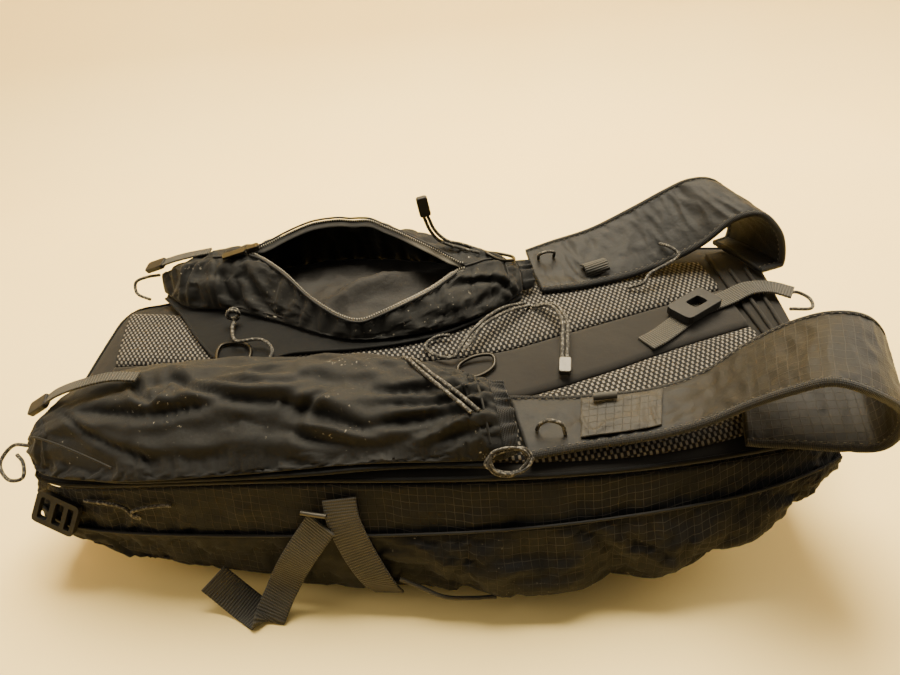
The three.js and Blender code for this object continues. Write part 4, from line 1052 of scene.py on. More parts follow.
# Moulded and metal pieces are the plain solids with their edges eased, as moulding leaves them.
# Their function comes before the cords, since two of the pieces are on the ends of cords.
def eased(name, node, width, slot, material, body="pack"):
    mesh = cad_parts[node].data.copy()
    mesh.materials.clear()
    mesh.materials.append(material)
    obj = bpy.data.objects.new(name, mesh)
    bpy.context.scene.collection.objects.link(obj)
    weld = obj.modifiers.new("weld", "WELD")
    weld.merge_threshold = 0.00002
    flat = obj.modifiers.new("flat", "DECIMATE")
    flat.decimate_type = "DISSOLVE"
    flat.angle_limit = 0.05
    ease = obj.modifiers.new("ease", "BEVEL")
    ease.width = width / 1000
    ease.segments = 3
    ease.limit_method = "ANGLE"
    ease.angle_limit = 0.6
    plain(obj)
    obj.data.polygons.foreach_set("use_smooth", np.zeros(len(obj.data.polygons), bool))
    return keep(obj, slot, node, body=body)


def elastic(name, node, places):
    obj, route = round_line(name, places, CORD, CORD_CLOTH)
    keep(obj, "cord", node)
    return obj


elastic(
    "loop_on_near_strap",
    "strap_loop_near",
    [
        over_band(STRAP_NEAR, 0.02, 0.62, CORD_SEAT),
        over_band(STRAP_NEAR, 0.022, 0.66, 8),
        over_band(STRAP_NEAR, 0.035, 0.7, 12),
        over_band(STRAP_NEAR, 0.052, 0.74, 9),
        over_band(STRAP_NEAR, 0.056, 0.76, CORD_SEAT),
    ],
)
for number, dx in ((1, 0), (2, 0.9)):
    elastic(
        f"hem_cord_strand_{number}",
        f"hem_cord_{number}",
        [
            on_deck(-1.6 + dx, 1.5, 1.7),
            over_bottle(-0.2 + dx, -6, 5),
            over_bottle(1.6 + dx, -14, 3.5),
            over_bottle(3.8 + dx, -22, 3.5),
            over_bottle(6 + dx, -28.5, 4.5),
        ],
    )
wind_centre = np.array([X(9.4), Y(-36.9), float(layer_top(X(9.4), Y(-38))) + 9])
wind_across = unit(np.array([0, 0.55, 0.83]))
turns = []
for k in range(25):
    angle = np.pi * k / 4
    size = 6.2 + 0.5 * (k % 5)
    turns.append(
        wind_centre
        + np.array([size * 1.7 * np.cos(angle), 0, 0])
        + wind_across * size * np.sin(angle)
        + np.array([0, -1.0, 0.8]) * (k - 12) / 14
    )
winding, _ = round_line("wound_hem_cord", turns, CORD * 0.8, CORD_CLOTH)
keep(winding, "cord", "hem_cord_winding")
elastic(
    "waist_end_loops",
    "end_loops_near",
    [
        at(-49.85, 3.4, 88.2),
        at(-52.6, 5.4, 86),
        at(-54.2, 2.2, 79),
        at(-52.9, -1.8, 73),
        at(-51.1, -2.2, 74),
        at(-51.2, 1.4, 79),
        at(-52.2, 4, 81),
    ],
)
elastic(
    "toggle_cord",
    "toggle_cord_near",
    [
        on_shell(-42.4, 70, 2),
        on_shell(-39.6, 70, 2),
        on_shell(-37.2, 68, 2.2),
        on_shell(-36.2, 63, 3),
        on_shell(-35, 65, 5.5),
        on_shell(-36, 69, 6),
        on_shell(-34, 72, 4),
        on_shell(-31, 73, 2.2),
    ],
)
elastic(
    "tie_cord",
    "far_tie_cord",
    [
        on_deck(-23.3, 30.5, 8.4),
        on_deck(-23.4, 26.4, 9),
        on_deck(-22.6, 20, 9.8),
        on_deck(-19.2, 18.6, 9.6),
        on_deck(-17.6, 14, 8),
        on_deck(-18.4, 10.6, 5.6),
        on_deck(-20.2, 12, 4.95),
    ],
)
knot_at = on_deck(-23.3, 31.6, 12.4)
knot_route = []
for k in range(30):
    angle = 2 * np.pi * k / 15
    knot_route.append(
        knot_at
        + np.array([4 * np.cos(angle), 1.6 * np.sin(1.5 * angle), 4 * np.sin(angle)])
    )
knot, _ = round_line("tie_knot", knot_route, CORD, CORD_CLOTH)
keep(knot, "cord", "far_tie_knot")
for number, off in ((1, 0), (2, 1)):
    places = [
        on_deck(18.6 + off * 0.6, 20 - off * 1.4, 1.8),
        on_deck(14.6 + off * 0.3, 14.6 - off * 2, 10),
        on_deck(10.6 + off * 0.2, 8 - off * 1.4, 12),
        on_deck(8 + off * 0.9, 3 - off * 0.6, 9),
        on_deck(6.2 + off * 1.2, -0.4, 5 + off * 3),
    ]
    if number == 1:
        places += [on_deck(4, 2.4, 3.4), on_deck(3, 7, 3), on_deck(5, 9.6, 4), on_deck(6.6, 8.6, 5)]
    elastic(f"low_arc_cord_{number}", f"arc_cord_low_{number}", places)


def arch_places(off):
    return [
        on_deck(20.2 - off, 18.4 - off, 1.8),
        on_deck(22 - off, 12.6, 10),
        on_deck(22.4 - off, 4.6, 12),
        on_deck(21.4 - off, -3, 9.5),
        on_deck(20.6 - off, -8, 6.8),
    ]


ferrule = eased("cord_end_ferrule", "cord_ferrule", 0.6, "metal", METAL)
elastic("high_arc_cord_1", "arc_cord_high_1", arch_places(0))
elastic("high_arc_cord_2", "arc_cord_high_2", arch_places(0.66))
tag = eased("standing_cord_tag", "stand_cord_tag", 0.8, "hard_plastic", PLASTIC)
stand_top = over_zipped(6, 35, 25)
for number, off in ((1, -0.35), (2, 0.35)):
    elastic(
        f"standing_cord_{number}",
        f"stand_cord_{number}",
        [
            over_zipped(13.6 + off, 33 + off * 3, 1.8),
            over_zipped(10.6 + off, 34 + off * 3, 3.6),
            over_zipped(8.2 + off * 1.6, 34.6, 6.5),
            over_zipped(6.8 + off, 35, 14),
            stand_top + np.array([off * 4, 0, 0]),
        ],
    )
elastic(
    "loop_on_far_strap",
    "strap_loop_far",
    [
        over_band(STRAP_FAR, 0.03, 0.3, CORD_SEAT),
        over_band(STRAP_FAR, 0.03, 0.34, 7),
        over_band(STRAP_FAR, 0.055, 0.36, 9.5),
        over_band(STRAP_FAR, 0.08, 0.36, 7),
        over_band(STRAP_FAR, 0.08, 0.34, CORD_SEAT),
    ],
)
elastic(
    "cord_off_far_strap",
    "strap_cord_far",
    [
        over_band(STRAP_FAR, 0.31, 0.72, 2 * CORD_SEAT),
        over_band(STRAP_FAR, 0.325, 0.86, 6),
        over_band(STRAP_FAR, 0.335, 1.02, 5.5),
        at(37.4, 20.4, 126),
        on_deck(36.4, 18.6, 7),
        on_deck(34.2, 19.6, 3),
    ],
)
elastic(
    "loop_at_far_end",
    "end_loop_far",
    [
        at(-36.15, 62.6, 121),
        at(-38.4, 63, 120),
        at(-40.2, 62.6, 117),
        at(-40.2, 60.4, 110),
        on_deck(-38.2, 58.4, 3),
    ],
)
elastic(
    "hanging_loop",
    "haul_loop",
    [
        on_deck(55.6, 6.4, 2.9),
        at(57.6, 7.8, 114),
        at(59, 5.4, 111),
        at(58.2, 1.6, 110),
        on_deck(54.4, 0.6, 1.8),
    ],
)


# Body: a tub of thin coated ripstop, sewn into the rim of the back panel and soft enough to crumple.
# Below its seam a looser front pocket is sewn on, which bags round the belly that the pack rests on.
u = np.linspace(0.004, 0.996, 150)[:, None]
q = np.linspace(0, 5, 130)[None, :]
skin = hull(u + 0 * q, q + 0 * u, inset=SHELL_INSET + 0.2)
along = u * 500 + 0 * q
round_it = q * 90 + 0 * u
free = smooth(q / 0.25) * smooth((5 - q) / 0.25)
crumple = creases(along, round_it, 46, 11, 0.5) * 1.0 + waves(along, round_it, 26, 12) * 0.5
skin = skin - normals(skin) * (crumple * free)[..., None]
shell = cloth("ripstop_body", skin[:, ::-1], 1.2, RIPSTOP)
keep(shell, "ripstop", "pack_shell")

share_near = seam_share(u, "rimNear")
share_far = seam_share(u, "rimFar")
t = np.linspace(0, 1, 96)[None, :]
q = share_near + (5 - share_far - share_near) * t
belly = hull(u + 0 * t, q, inset=0.2, puffed=True)
pin = np.zeros(belly.shape[:2], bool)
pin[:, :2] = pin[:, -2:] = True
pin[:3] = pin[-3:] = True
under = (q > 1.8) & (q < 5)
pin |= under
along = u * 500 + 0 * t
round_it = t * 420 + 0 * u
loose = smooth(t / 0.12) * smooth((1 - t) / 0.12)
drape = creases(along, round_it, 40, 21, 0.45) * 0.9 + waves(along, round_it, 60, 22, 0.6) * 0.8
SIDE_FOLDS = folds_in(
    PACK[0] / 100,
    PACK[2] / 100,
    [
        [-8, 58, -2, 60, 2.5, 43, 3.6, 2.4],
        [0.5, 61, 3, 55, 4.2, 40, 3.4, 2.2],
        [-6, 50, 0, 49, 7, 39, 2.6, 2.2],
        [15.6, 63, 19, 55, 21, 38, 3.4, 2.4],
        [21.4, 64, 22.6, 55, 27, 44, 2.8, 2],
        [5, 46, 24, 52, 43, 71, 2.2, 3.6],
        [8, 35, 26, 43, 44, 63, 1.8, 3.2],
        [9, 56, 27, 62, 44, 76, 1.8, 2.6],
        [-24, 38, -12, 36, -2, 34, 1.8, 2.6],
    ],
)
cut_folds = fold_depth(belly[..., 0], belly[..., 2], SIDE_FOLDS)
lift = (drape + cut_folds) * loose * (1 - smooth((q - 1.5) / 0.5))
belly = belly + normals(belly) * lift[..., None]
pocket = sheet_of("front_pocket_cloth", belly[:, ::-1], BELLY)
settled(pocket, pin[:, ::-1].ravel(), grow=0.05, cap=5, frames=14)
thicken(pocket, 1.1)
keep(pocket, "pocket_cloth", "front_pocket")
hem_line = [p + np.array([0, -0.6, 0.4]) for p in belly[4:-4:9, 0]]
hem, _ = round_line("front_pocket_edge", hem_line, 1.8, BINDING)
keep(hem, "pocket_cloth")

# Back panel: smooth cloth over thin foam, crowned in the middle and pulled flat at its rim, where a
# round piping is sewn in between the panel and the body.
panel_u = np.linspace(0.012, 0.988, 130)[:, None]
panel_t = np.linspace(0.015, 0.985, 70)[None, :]
full_u, full_t = panel_u + 0 * panel_t, panel_t + 0 * panel_u
bottom = deck_point(full_u, full_t, GAP)
soft = waves(full_u * 500, full_t * 230, 60, 31) * 0.5 + creases(full_u * 500, full_t * 230, 30, 32) * 0.3
edge = smooth(np.minimum(full_t, 1 - full_t) / 0.06) * smooth(np.minimum(full_u, 1 - full_u) / 0.04)
top = deck_point(full_u, full_t, panel_rise(full_t) * (0.72 + 0.28 * edge) + np.minimum(soft, 0) * edge)
panel = slab("padded_back_panel", bottom, top, PANEL)
keep(panel, "panel_cloth", "back_panel")
rim = np.concatenate([top[:, 0], top[-1, 1:], top[::-1, -1][1:], top[0, ::-1][1:-1]])
# The rim piping is painted near black, as painted shade where the panel meets the body.
rim_piping, _ = round_line("panel_rim_piping", rim[::9], 2.6, SHADED, closed=True)
keep(rim_piping, "panel_cloth")

# Channels: two strips of open spacer mesh, sewn down along the back panel so that air passes, with a
# smooth padded band between them. Each is a little raised and drops to its stitched edge.
DECK_LINES = table(
    "x near midNear midFar far",
    [
        [-41, -4, 13, 28, 55],
        [-28, -15, -1, 19, 42],
        [-14.5, -22, -8, 8, 34],
        [-1, -29, -13, 4, 31],
        [12, -35, -16, 2, 31],
        [24, -38.5, -12.5, 6, 33],
        [36, -38, -7, 10.5, 34],
        [47.5, -33, -2.5, 15, 31],
    ],
)


def deck_strip(name, from_column, to_column, material, crown):
    a = np.linspace(0, 1, 150)[:, None]
    b = np.linspace(0, 1, 26)[None, :]
    x = X(curve(DECK_LINES, "x", a)) + 0 * b
    near = Y(curve(DECK_LINES, from_column, a)) + GAP
    far = Y(curve(DECK_LINES, to_column, a)) - GAP
    y = mix(near, far, b)
    z = deck_top(x, y)
    edge = smooth(np.minimum(b, 1 - b) / 0.08)
    high = point(x, y, z + LAYER * (0.45 + 0.55 * edge) + crown * np.sin(np.pi * b))
    return slab(name, point(x, y, z + GAP), high, material)


for name, a, b, node in (
    ("near_spacer_mesh", "near", "midNear", "mesh_channel_near"),
    ("far_spacer_mesh", "midFar", "far", "mesh_channel_far"),
):
    strip = deck_strip(name, a, b, SPACER, 0.4)
    keep(strip, "spacer_mesh", node)
band = deck_strip("smooth_centre_band", "midNear", "midFar", PANEL, 0.2)
keep(band, "panel_cloth", "centre_band")

# Neck yoke: smooth cloth over the ends of the channels, where the panel ends, with two rolls of
# piping sewn across it.
YOKE = table(
    "y x0 x1",
    [
        [-35, 48.3, 50.4],
        [-22, 48.4, 51.6],
        [-8, 48.6, 52.9],
        [8, 48.8, 54.4],
        [22, 49.2, 55.7],
        [34, 49.8, 56.8],
    ],
)


def yoke_point(a, b):
    x = X(mix(curve(YOKE, "x0", a), curve(YOKE, "x1", a), b))
    y = Y(curve(YOKE, "y", a)) + 0 * b
    return point(x, y, deck_top(x, y))


a = np.linspace(0, 1, 60)[:, None]
b = np.linspace(0, 1, 16)[None, :]
base = yoke_point(a, 1 - b)
low = base + np.array([0, 0, GAP])
high = base + np.array([0, 0, LAYER])
yoke = slab("smooth_neck_yoke", low, high, PANEL)
keep(yoke, "panel_cloth", "neck_yoke")
for number, share in ((1, 0.25), (2, 0.62)):
    places = []
    for k in range(7):
        p = yoke_point(np.array(mix(0.2, 0.8, k / 6)), np.array(share))
        places.append(p + np.array([0, 0, LAYER + GAP + PIPING / 2]))
    roll_of_cloth, _ = round_line(f"yoke_roll_{number}", places, PIPING, PANEL)
    keep(roll_of_cloth, "panel_cloth", f"yoke_piping_{number}")


# Shoulder straps: foam between ripstop and a smooth inner face, with the edges bound in folded tape
# and stitched through. They stand up in an arch by their own stiffness.
def strap(name, rows, node, seed, material):
    a = np.linspace(0, 1, 220)[:, None]
    b = np.linspace(0, 1, 34)[None, :]
    middle = band_point(rows, a + 0 * b, b + 0 * a, STRAP_HALF)
    mirrored = rows["ya"][0] > rows["yb"][0]
    side = normals(middle) * (-1 if mirrored else 1)
    length = np.concatenate([[0], np.cumsum(np.linalg.norm(np.diff(middle[:, 16], axis=0), axis=1))])
    u = length[:, None] + 0 * b
    v = b * 50 + 0 * a
    pad = 0.6 + 0.4 * (1 - np.abs(2 * b - 1) ** 4)
    soft = creases(u, v, 26, seed, 0.5) * 0.7 + waves(u, v, 15, seed + 1) * 0.25
    soft = soft * smooth(np.minimum(b, 1 - b) / 0.12)
    upper = middle + side * (STRAP_HALF * pad - 0.3 + soft * 0.8)[..., None]
    lower = middle - side * (STRAP_HALF * pad - 0.3 + soft * 0.3)[..., None]
    turn = slice(None, None, -1 if mirrored else 1)
    pad_piece = slab(name, lower[:, turn], upper[:, turn], material)
    keep(pad_piece, "strap_cloth", node)
    bindings = []
    stitches = []
    for share, inner in ((0, 3), (1, -4)):
        column = 0 if share == 0 else -1
        ring_of = middle[:, column]
        inward = unit(middle[:, inner] - ring_of)
        out = side[:, column]
        sections = []
        for angle in np.linspace(-2.1, 2.1, 9):
            sections.append(
                ring_of + inward * (1.9 - 2.6 * np.cos(angle)) + out * (2.35 * np.sin(angle))
            )
        grid = np.stack(sections, 1)
        if (share == 0) == mirrored:
            grid = grid[:, ::-1]
        bindings.append(grid)
        for face in (1, -1):
            stitches.append((ring_of + inward * 3.6 + out * face * 2.2)[2:-2])
    for number, grid in enumerate(bindings, 1):
        tape = cloth(f"{name}_binding_{number}", grid, 0.5, BINDING)
        keep(tape, "strap_cloth")
    bit = small_box(name + "_stitch", 2.4, 0.7, 0.6)
    seam = repeat(name + "_stitching", stitches, 4.2, bit, THREAD)
    keep(seam, "strap_cloth")
    bpy.data.objects.remove(bit)


strap("near_shoulder_strap", STRAP_NEAR, "shoulder_strap_near", 41, STRAP)
strap("far_shoulder_strap", STRAP_FAR, "shoulder_strap_far", 51, STRAP_PLAIN)

# Chest panels: thin mesh-lined cloth under each chest pocket, bound along its edge. They lie on the
# back panel, as the front of a vest does when it is laid down.
def chest_panel(name, rows, node, seed):
    a = np.linspace(0, 1, 130)[:, None]
    b = np.linspace(0, 1, 44)[None, :]
    x = X(curve(rows, "x", a)) + 0 * b
    y = Y(mix(curve(rows, "near", a), curve(rows, "far", a), b))
    z = layer_top(x, y) + VEST_SEAT
    wave = waves(x, y, 30, seed) * 0.25 + 0.25
    top = point(x, y, z + VEST_PAD * 0.8 + np.minimum(wave, 0.5))
    # The chest panel and its bound edges are painted near black, as painted shade under the pockets.
    sheet = slab(name, point(x, y, z), top, SHADED)
    keep(sheet, "spacer_mesh", node)
    for number, column in ((1, 0), (2, -1)):
        places = top[::8, column] + np.array([0, 0.6 if column == 0 else -0.6, -0.4])
        bound, _ = round_line(f"{name}_bound_edge_{number}", places, 2.2, SHADED)
        keep(bound, "spacer_mesh")


chest_panel("near_chest_panel", VEST_NEAR, "chest_panel_near", 61)
chest_panel("far_chest_panel", VEST_FAR, "chest_panel_far", 62)


# Bottle pocket: light stretch cloth that bags over the chest panel in long slanting folds. It is sewn
# down along both sides and gathered at its mouth by an elastic hem.
BOTTLE_CREASES = folds_in(
    PACK[0] / 100,
    PACK[1] / 100,
    [
        [-41, -2, -33, -8.8, -22, -12.6, 4.2, 2.6],
        [-34.6, 2, -32, -6.8, -30, -1.4, 3.6, 2.2],
        [-30, 1, -24.4, -9, -17.6, -15, 3.6, 2.4],
        [-18, -14.6, -13, -18.6, -3.4, -28.4, 4, 2.8],
        [-14.4, -21, -10.2, -26, 0.4, -32, 3.8, 2.6],
        [-35, -15.4, -28.4, -20.4, -16, -25, 3, 2.4],
        [-44.4, 1, -37.6, -11.6, -29.6, -20, 2, 1.4],
        [-26.4, -3, -18.6, -10, -13.4, -10.6, 3, 2.2],
        [-14.4, -19, -12.4, -17, -10.4, -15.4, 2.6, 2],
        [9, -17.4, 3, -18.8, -5, -16.6, 3, 2],
        [9, -21.6, 3, -22.6, -4.4, -21, 2.6, 1.8],
        [9, -26, 2.4, -26.2, -5, -24.6, 3, 2],
        [9, -31, 3, -31, -4, -33, 2.4, 1.8],
    ],
)


def pocket_grid(rows, folds, named, a, v, seed):
    grid = bag_at(rows, folds, a, v)
    across = (v - 0.5) * 110
    along = curve(rows, "x", a) * 5 + 0 * v
    hold = smooth(np.minimum(v, 1 - v) / 0.1)
    fold = creases(along, across, 42, seed, 2.6) * 0.9 + waves(along, across, 19, seed + 1, 2.0) * 0.4
    fold = fold + fold_depth(grid[..., 0], grid[..., 1], named)
    return grid - normals(grid) * (fold * hold)[..., None] * np.sign(normals(grid)[..., 2:3])


a = np.linspace(0.004, 1, 160)[:, None]
v = (1 - np.cos(np.pi * np.linspace(0, 1, 84)))[None, :] / 2
a, v = a + 0 * v, v + 0 * a
bottle = pocket_grid(BOTTLE, BOTTLE_FOLDS, BOTTLE_CREASES, a, v, 71)
gather = smooth((a - 0.8) / 0.2)
bottle[..., 2] += 1.1 * gather * np.sin(v * np.pi * 17) * np.sin(np.pi * v)
pin = np.zeros(a.shape, bool)
pin[:, :2] = pin[:, -2:] = True
pin[:2] = pin[-3:] = True
flask = sheet_of("bottle_pocket_cloth", bottle, POCKET)
settled(flask, pin.ravel(), grow=0.07, cap=5, frames=16, pressure=0.4)
thicken(flask, 0.9)
keep(flask, "pocket_cloth", "bottle_pocket")

mouth = bag_at(BOTTLE, BOTTLE_FOLDS, np.array(1.0), np.linspace(0, 1, 140))


def hem_grid(mouth, start, length, seed, teeth):
    middle = (mouth[0] + mouth[-1]) / 2
    rows = []
    for share in np.linspace(0, 1, 9):
        ring_of = middle + (mouth - middle) * (1 - 0.12 * share)
        run = np.linspace(0, 1, len(mouth))
        ruffle = np.sin(run * np.pi * teeth + np.sin(run * 21 + seed)) * (0.5 + 1.4 * share)
        ring_of = ring_of + np.array([0, 0, 1]) * (ruffle * np.sin(np.pi * run) ** 0.4)[:, None]
        ring_of[:, 0] = start + length * share + 0.8 * np.sin(run * 37 + seed) * share
        rows.append(ring_of)
    return np.stack(rows)


bottle_end = X(BOTTLE["x"][-1])
edge_grid = hem_grid(mouth, bottle_end + 0.2, 9.4, 3, 15)
bottle_hem = cloth("bottle_pocket_gathered_hem", edge_grid, 1.4, BINDING)
keep(bottle_hem, "pocket_cloth", "bottle_pocket_hem")
seam = bag_at(BOTTLE, BOTTLE_FOLDS, np.linspace(0.1, 0.36, 12), np.linspace(0.3, 0.04, 12))
seam_roll, _ = round_line("bottle_pocket_corner_seam", seam + np.array([0, -0.4, 0.9]), 1.3, POCKET)
keep(seam_roll, "pocket_cloth")

# Zipped pocket: the same cloth in two panels that meet at a long zip. The zip gapes like a lens, so
# each panel ends in a free lip, and the pocket's other end is gathered by a hem.
LIPS = table(
    "x low high",
    [
        [-19.8, 47.4, 49],
        [-15.6, 37, 53.4],
        [-11.3, 24.6, 56],
        [-6.6, 16.4, 56.4],
        [-2.4, 15.6, 53],
        [4.6, 19.6, 38.6],
        [10, 26, 28],
    ],
)


def lip_at(column, x):
    s = share_at(LIPS, "x", 100 * x / PACK[0])
    value = Y(curve(LIPS, column, s))
    middle = (Y(curve(LIPS, "low", s)) + Y(curve(LIPS, "high", s))) / 2
    ends = smooth((100 * x / PACK[0] + 20.6) / 1.0) * smooth((10.9 - 100 * x / PACK[0]) / 1.0)
    return mix(middle, value, ends)


ZIPPED_CREASES = folds_in(
    PACK[0] / 100,
    PACK[1] / 100,
    [
        [-21.6, 45, -19.4, 34, -14.4, 23.6, 3.4, 2],
        [-24.6, 45, -23.4, 38, -19.6, 31.4, 3, 2],
        [-25.4, 54, -25.7, 46, -26, 39.6, 1.6, 1.2],
        [-31, 46, -29, 52, -24.6, 57, 2.4, 2],
        [-31.6, 43, -30, 40, -27, 39, 2, 1.8],
        [10.4, 36, 11.6, 28, 10.8, 16, 1.4, 1.2],
        [18.6, 20, 14, 22.6, 8, 20, 2.2, 1.8],
        [18.6, 31, 14, 31, 9.4, 38, 2.4, 1.8],
        [17.6, 26, 12.4, 17.6, 3, 13, 2.2, 1.8],
        [-9, 14, -3, 12, 3, 13.6, 1.8, 1.8],
    ],
)
a = np.linspace(0.004, 0.996, 150)[:, None]
x = X(curve(ZIPPED, "x", a))
near = Y(curve(ZIPPED, "near", a))
far = Y(curve(ZIPPED, "far", a))
before = smooth((-100 * x / PACK[0] - 20) / 6)
after = smooth((100 * x / PACK[0] - 10.5) / 5)
low_lip = mix(mix(lip_at("low", x), mix(near, far, 0.5), before), mix(near, far, 0.5), after)
high_lip = mix(mix(lip_at("high", x), mix(near, far, 0.5), before), mix(near, far, 0.5), after)
low_share = (low_lip - near) / (far - near)
high_share = (high_lip - near) / (far - near)
k = np.linspace(0, 1, 34)[None, :]
near_v = low_share * (1 - np.cos(np.pi * k / 2)) ** 0.8
far_v = high_share + (1 - high_share) * np.sin(np.pi * k / 2) ** 0.9
for name, v, seed, edge_columns in (
    ("zipped_pocket_near_cloth", near_v, 81, (slice(0, 2), slice(-3, None))),
    ("zipped_pocket_far_cloth", far_v, 84, (slice(0, 3), slice(-2, None))),
):
    v = np.broadcast_to(v, (150, 34))
    full_a = a + 0 * k
    grid = bag_at(ZIPPED, ZIPPED_FOLDS, full_a, v)
    n = normals(grid)
    n = n * np.sign(n[..., 2:3])
    hold = smooth(k / 0.15) * smooth((1 - k) / 0.15) * smooth(full_a / 0.03) * smooth((1 - full_a) / 0.03)
    across = grid[..., 1]
    fold = creases(grid[..., 0], across, 40, seed, 0.6) * 0.9
    fold = fold + waves(grid[..., 0], across, 20, seed + 1) * 0.4
    fold = fold + fold_depth(grid[..., 0], grid[..., 1], ZIPPED_CREASES)
    grid = grid - n * (fold * hold)[..., None]
    pin = np.zeros(full_a.shape, bool)
    pin[:, edge_columns[0]] = pin[:, edge_columns[1]] = True
    pin[:2] = pin[-2:] = True
    obj = sheet_of(name, grid, POCKET)
    settled(obj, pin.ravel(), grow=0.06, cap=4, frames=14)
    thicken(obj, 1.0, inside=LINING)
    keep(obj, "pocket_cloth", *(["zip_pocket"] if "near" in name else []))

# Pocket lining: black cloth on the pocket's floor and back, with one loose fold that the light
# catches through the open zip.
a = np.linspace(0.05, 0.95, 70)[:, None]
v = np.linspace(0.03, 0.97, 50)[None, :]
floor_grid = bag_at(ZIPPED, ZIPPED_FOLDS, a + 0 * v, v + 0 * a)
x, y = floor_grid[..., 0], floor_grid[..., 1]
floor_z = vest_top(x, y) + BAG_SEAT + 1.2
ridge = np.exp(-(((x + 14) / 34) ** 2) - (((y - 84 - 0.25 * (x + 14)) / 11) ** 2))
rumple = creases(x, y, 30, 91) * 1.2
room = floor_grid[..., 2] - floor_z - 3
floor_grid[..., 2] = floor_z + np.clip(ridge * 15 + rumple * 1.5 + 1.5, 0.3, np.maximum(room, 0.4))
lining = cloth("zipped_pocket_lining", floor_grid, 0.6, LOOSE_LINING)
keep(lining, "pocket_cloth")

# Zip: two woven tapes sewn behind the lips, each with its half of the coil along the free edge. Past
# both ends of the lens the zip is closed and shows as one seam.
x_line = X(np.linspace(-20.2, 10.4, 120))
for name, column, node, sign in (
    ("near", "low", "zip_tape_near", 1),
    ("far", "high", "zip_tape_far", -1),
):
    s = share_at(LIPS, "x", 100 * x_line / PACK[0])
    lip = Y(curve(LIPS, column, s))
    other = Y(curve(LIPS, "high" if column == "low" else "low", s))
    width = np.minimum(7, np.abs(other - lip) * 0.4)
    z = np.array([bag_top(ZIPPED, ZIPPED_FOLDS, px, py) for px, py in zip(x_line, lip)])
    rows = []
    for share in np.linspace(0, 1, 5):
        y = lip + sign * (width * share - 1.2)
        drop = 0.9 + (0.2 if column == "low" else 2.2) * share
        rows.append(point(x_line, y, z - drop + (0.5 if share == 0 else 0)))
    grid = np.stack(rows, 1)
    if sign < 0:
        grid = grid[:, ::-1]
    tape = cloth(f"zip_tape_{name}_side", grid, 0.7, ZIP_CLOTH)
    keep(tape, "strap_cloth", node)
    free_edge = rows[1] + np.array([0, sign * 0.5, 1.5])
    tooth = small_box(f"zip_tooth_{name}", 0.9, 2.6, 1.3)
    coil = repeat(f"zip_coil_{name}_side", [free_edge], 1.8, tooth, ZIP_COIL)
    keep(coil, "strap_cloth")
    bpy.data.objects.remove(tooth)
    lip_cord, _ = round_line(
        f"lip_piping_{name}_side", (rows[0] + np.array([0, -sign * 0.9, 0.9]))[::6], 1.6, BINDING
    )
    keep(lip_cord, "pocket_cloth")
closed = []
for xs in (np.linspace(-26, -20.6, 14), np.linspace(10.6, 16, 12)):
    px = X(xs)
    py = np.interp(px, X(curve(ZIPPED, "x", np.linspace(0.004, 0.996, 150))), low_lip[:, 0])
    closed.append(np.array([[i, j, bag_top(ZIPPED, ZIPPED_FOLDS, i, j) + 0.5] for i, j in zip(px, py)]))
for number, places in enumerate(closed, 1):
    end_seam, _ = round_line(f"zip_end_seam_{number}", places[::3], 1.6, BINDING)
    keep(end_seam, "pocket_cloth")

b = np.linspace(0, 1, 120)
zip_mouth = bag_at(ZIPPED, ZIPPED_FOLDS, np.array(1.0), b)
zip_edge = hem_grid(zip_mouth, X(ZIPPED["x"][-1]) + 0.2, 9.4, 5, 11)
zip_hem = cloth("zipped_pocket_gathered_hem", zip_edge, 1.4, BINDING)
keep(zip_hem, "pocket_cloth", "zip_pocket_hem")
for number, (rows_of, folds_of, share) in enumerate(
    ((BOTTLE, BOTTLE_FOLDS, 0.97), (ZIPPED, ZIPPED_FOLDS, 0.94)), 1
):
    ring_of = bag_at(rows_of, folds_of, np.array(share), np.linspace(0.06, 0.94, 24))
    hem_roll, _ = round_line(f"hem_stitch_roll_{number}", ring_of[::2] + np.array([0, 0, 0.9]), 1.4, POCKET)
    keep(hem_roll, "pocket_cloth")


# Webbing: ribbed tape, folded, laid or looped, with its edges a little proud. It is sewn in at the
# seams and runs free between them.
def tape_strip(name, node, rows, width, thick, count, material=WEBBING):
    places = np.array([r[0] for r in rows], float)
    sides = np.array([r[1] for r in rows], float)
    path = line(places, count=24)
    run = np.concatenate([[0], np.cumsum(np.linalg.norm(np.diff(path, axis=0), axis=1))])
    knots = [run[np.argmin(np.linalg.norm(path - p, axis=1))] for p in places]
    wanted = np.linspace(0, run[-1], count)
    path = np.stack([np.interp(wanted, run, path[:, i]) for i in range(3)], 1)
    side = np.stack([np.interp(wanted, knots, sides[:, i]) for i in range(3)], 1)
    tangent = unit(np.gradient(path, axis=0))
    side = unit(side - tangent * np.sum(side * tangent, axis=1, keepdims=True))
    b = np.linspace(-0.5, 0.5, 13)
    middle = path[:, None] + side[:, None] * (width * b)[None, :, None]
    middle[..., 2] = np.maximum(middle[..., 2], thick / 2)
    face = normals(middle)
    fat = np.where(np.abs(b) > 0.42, 0.5, 0.42) * thick
    upper = middle + face * fat[None, :, None]
    lower = middle - face * fat[None, :, None]
    obj = slab(name, lower, upper, material)
    return keep(obj, "webbing", node)


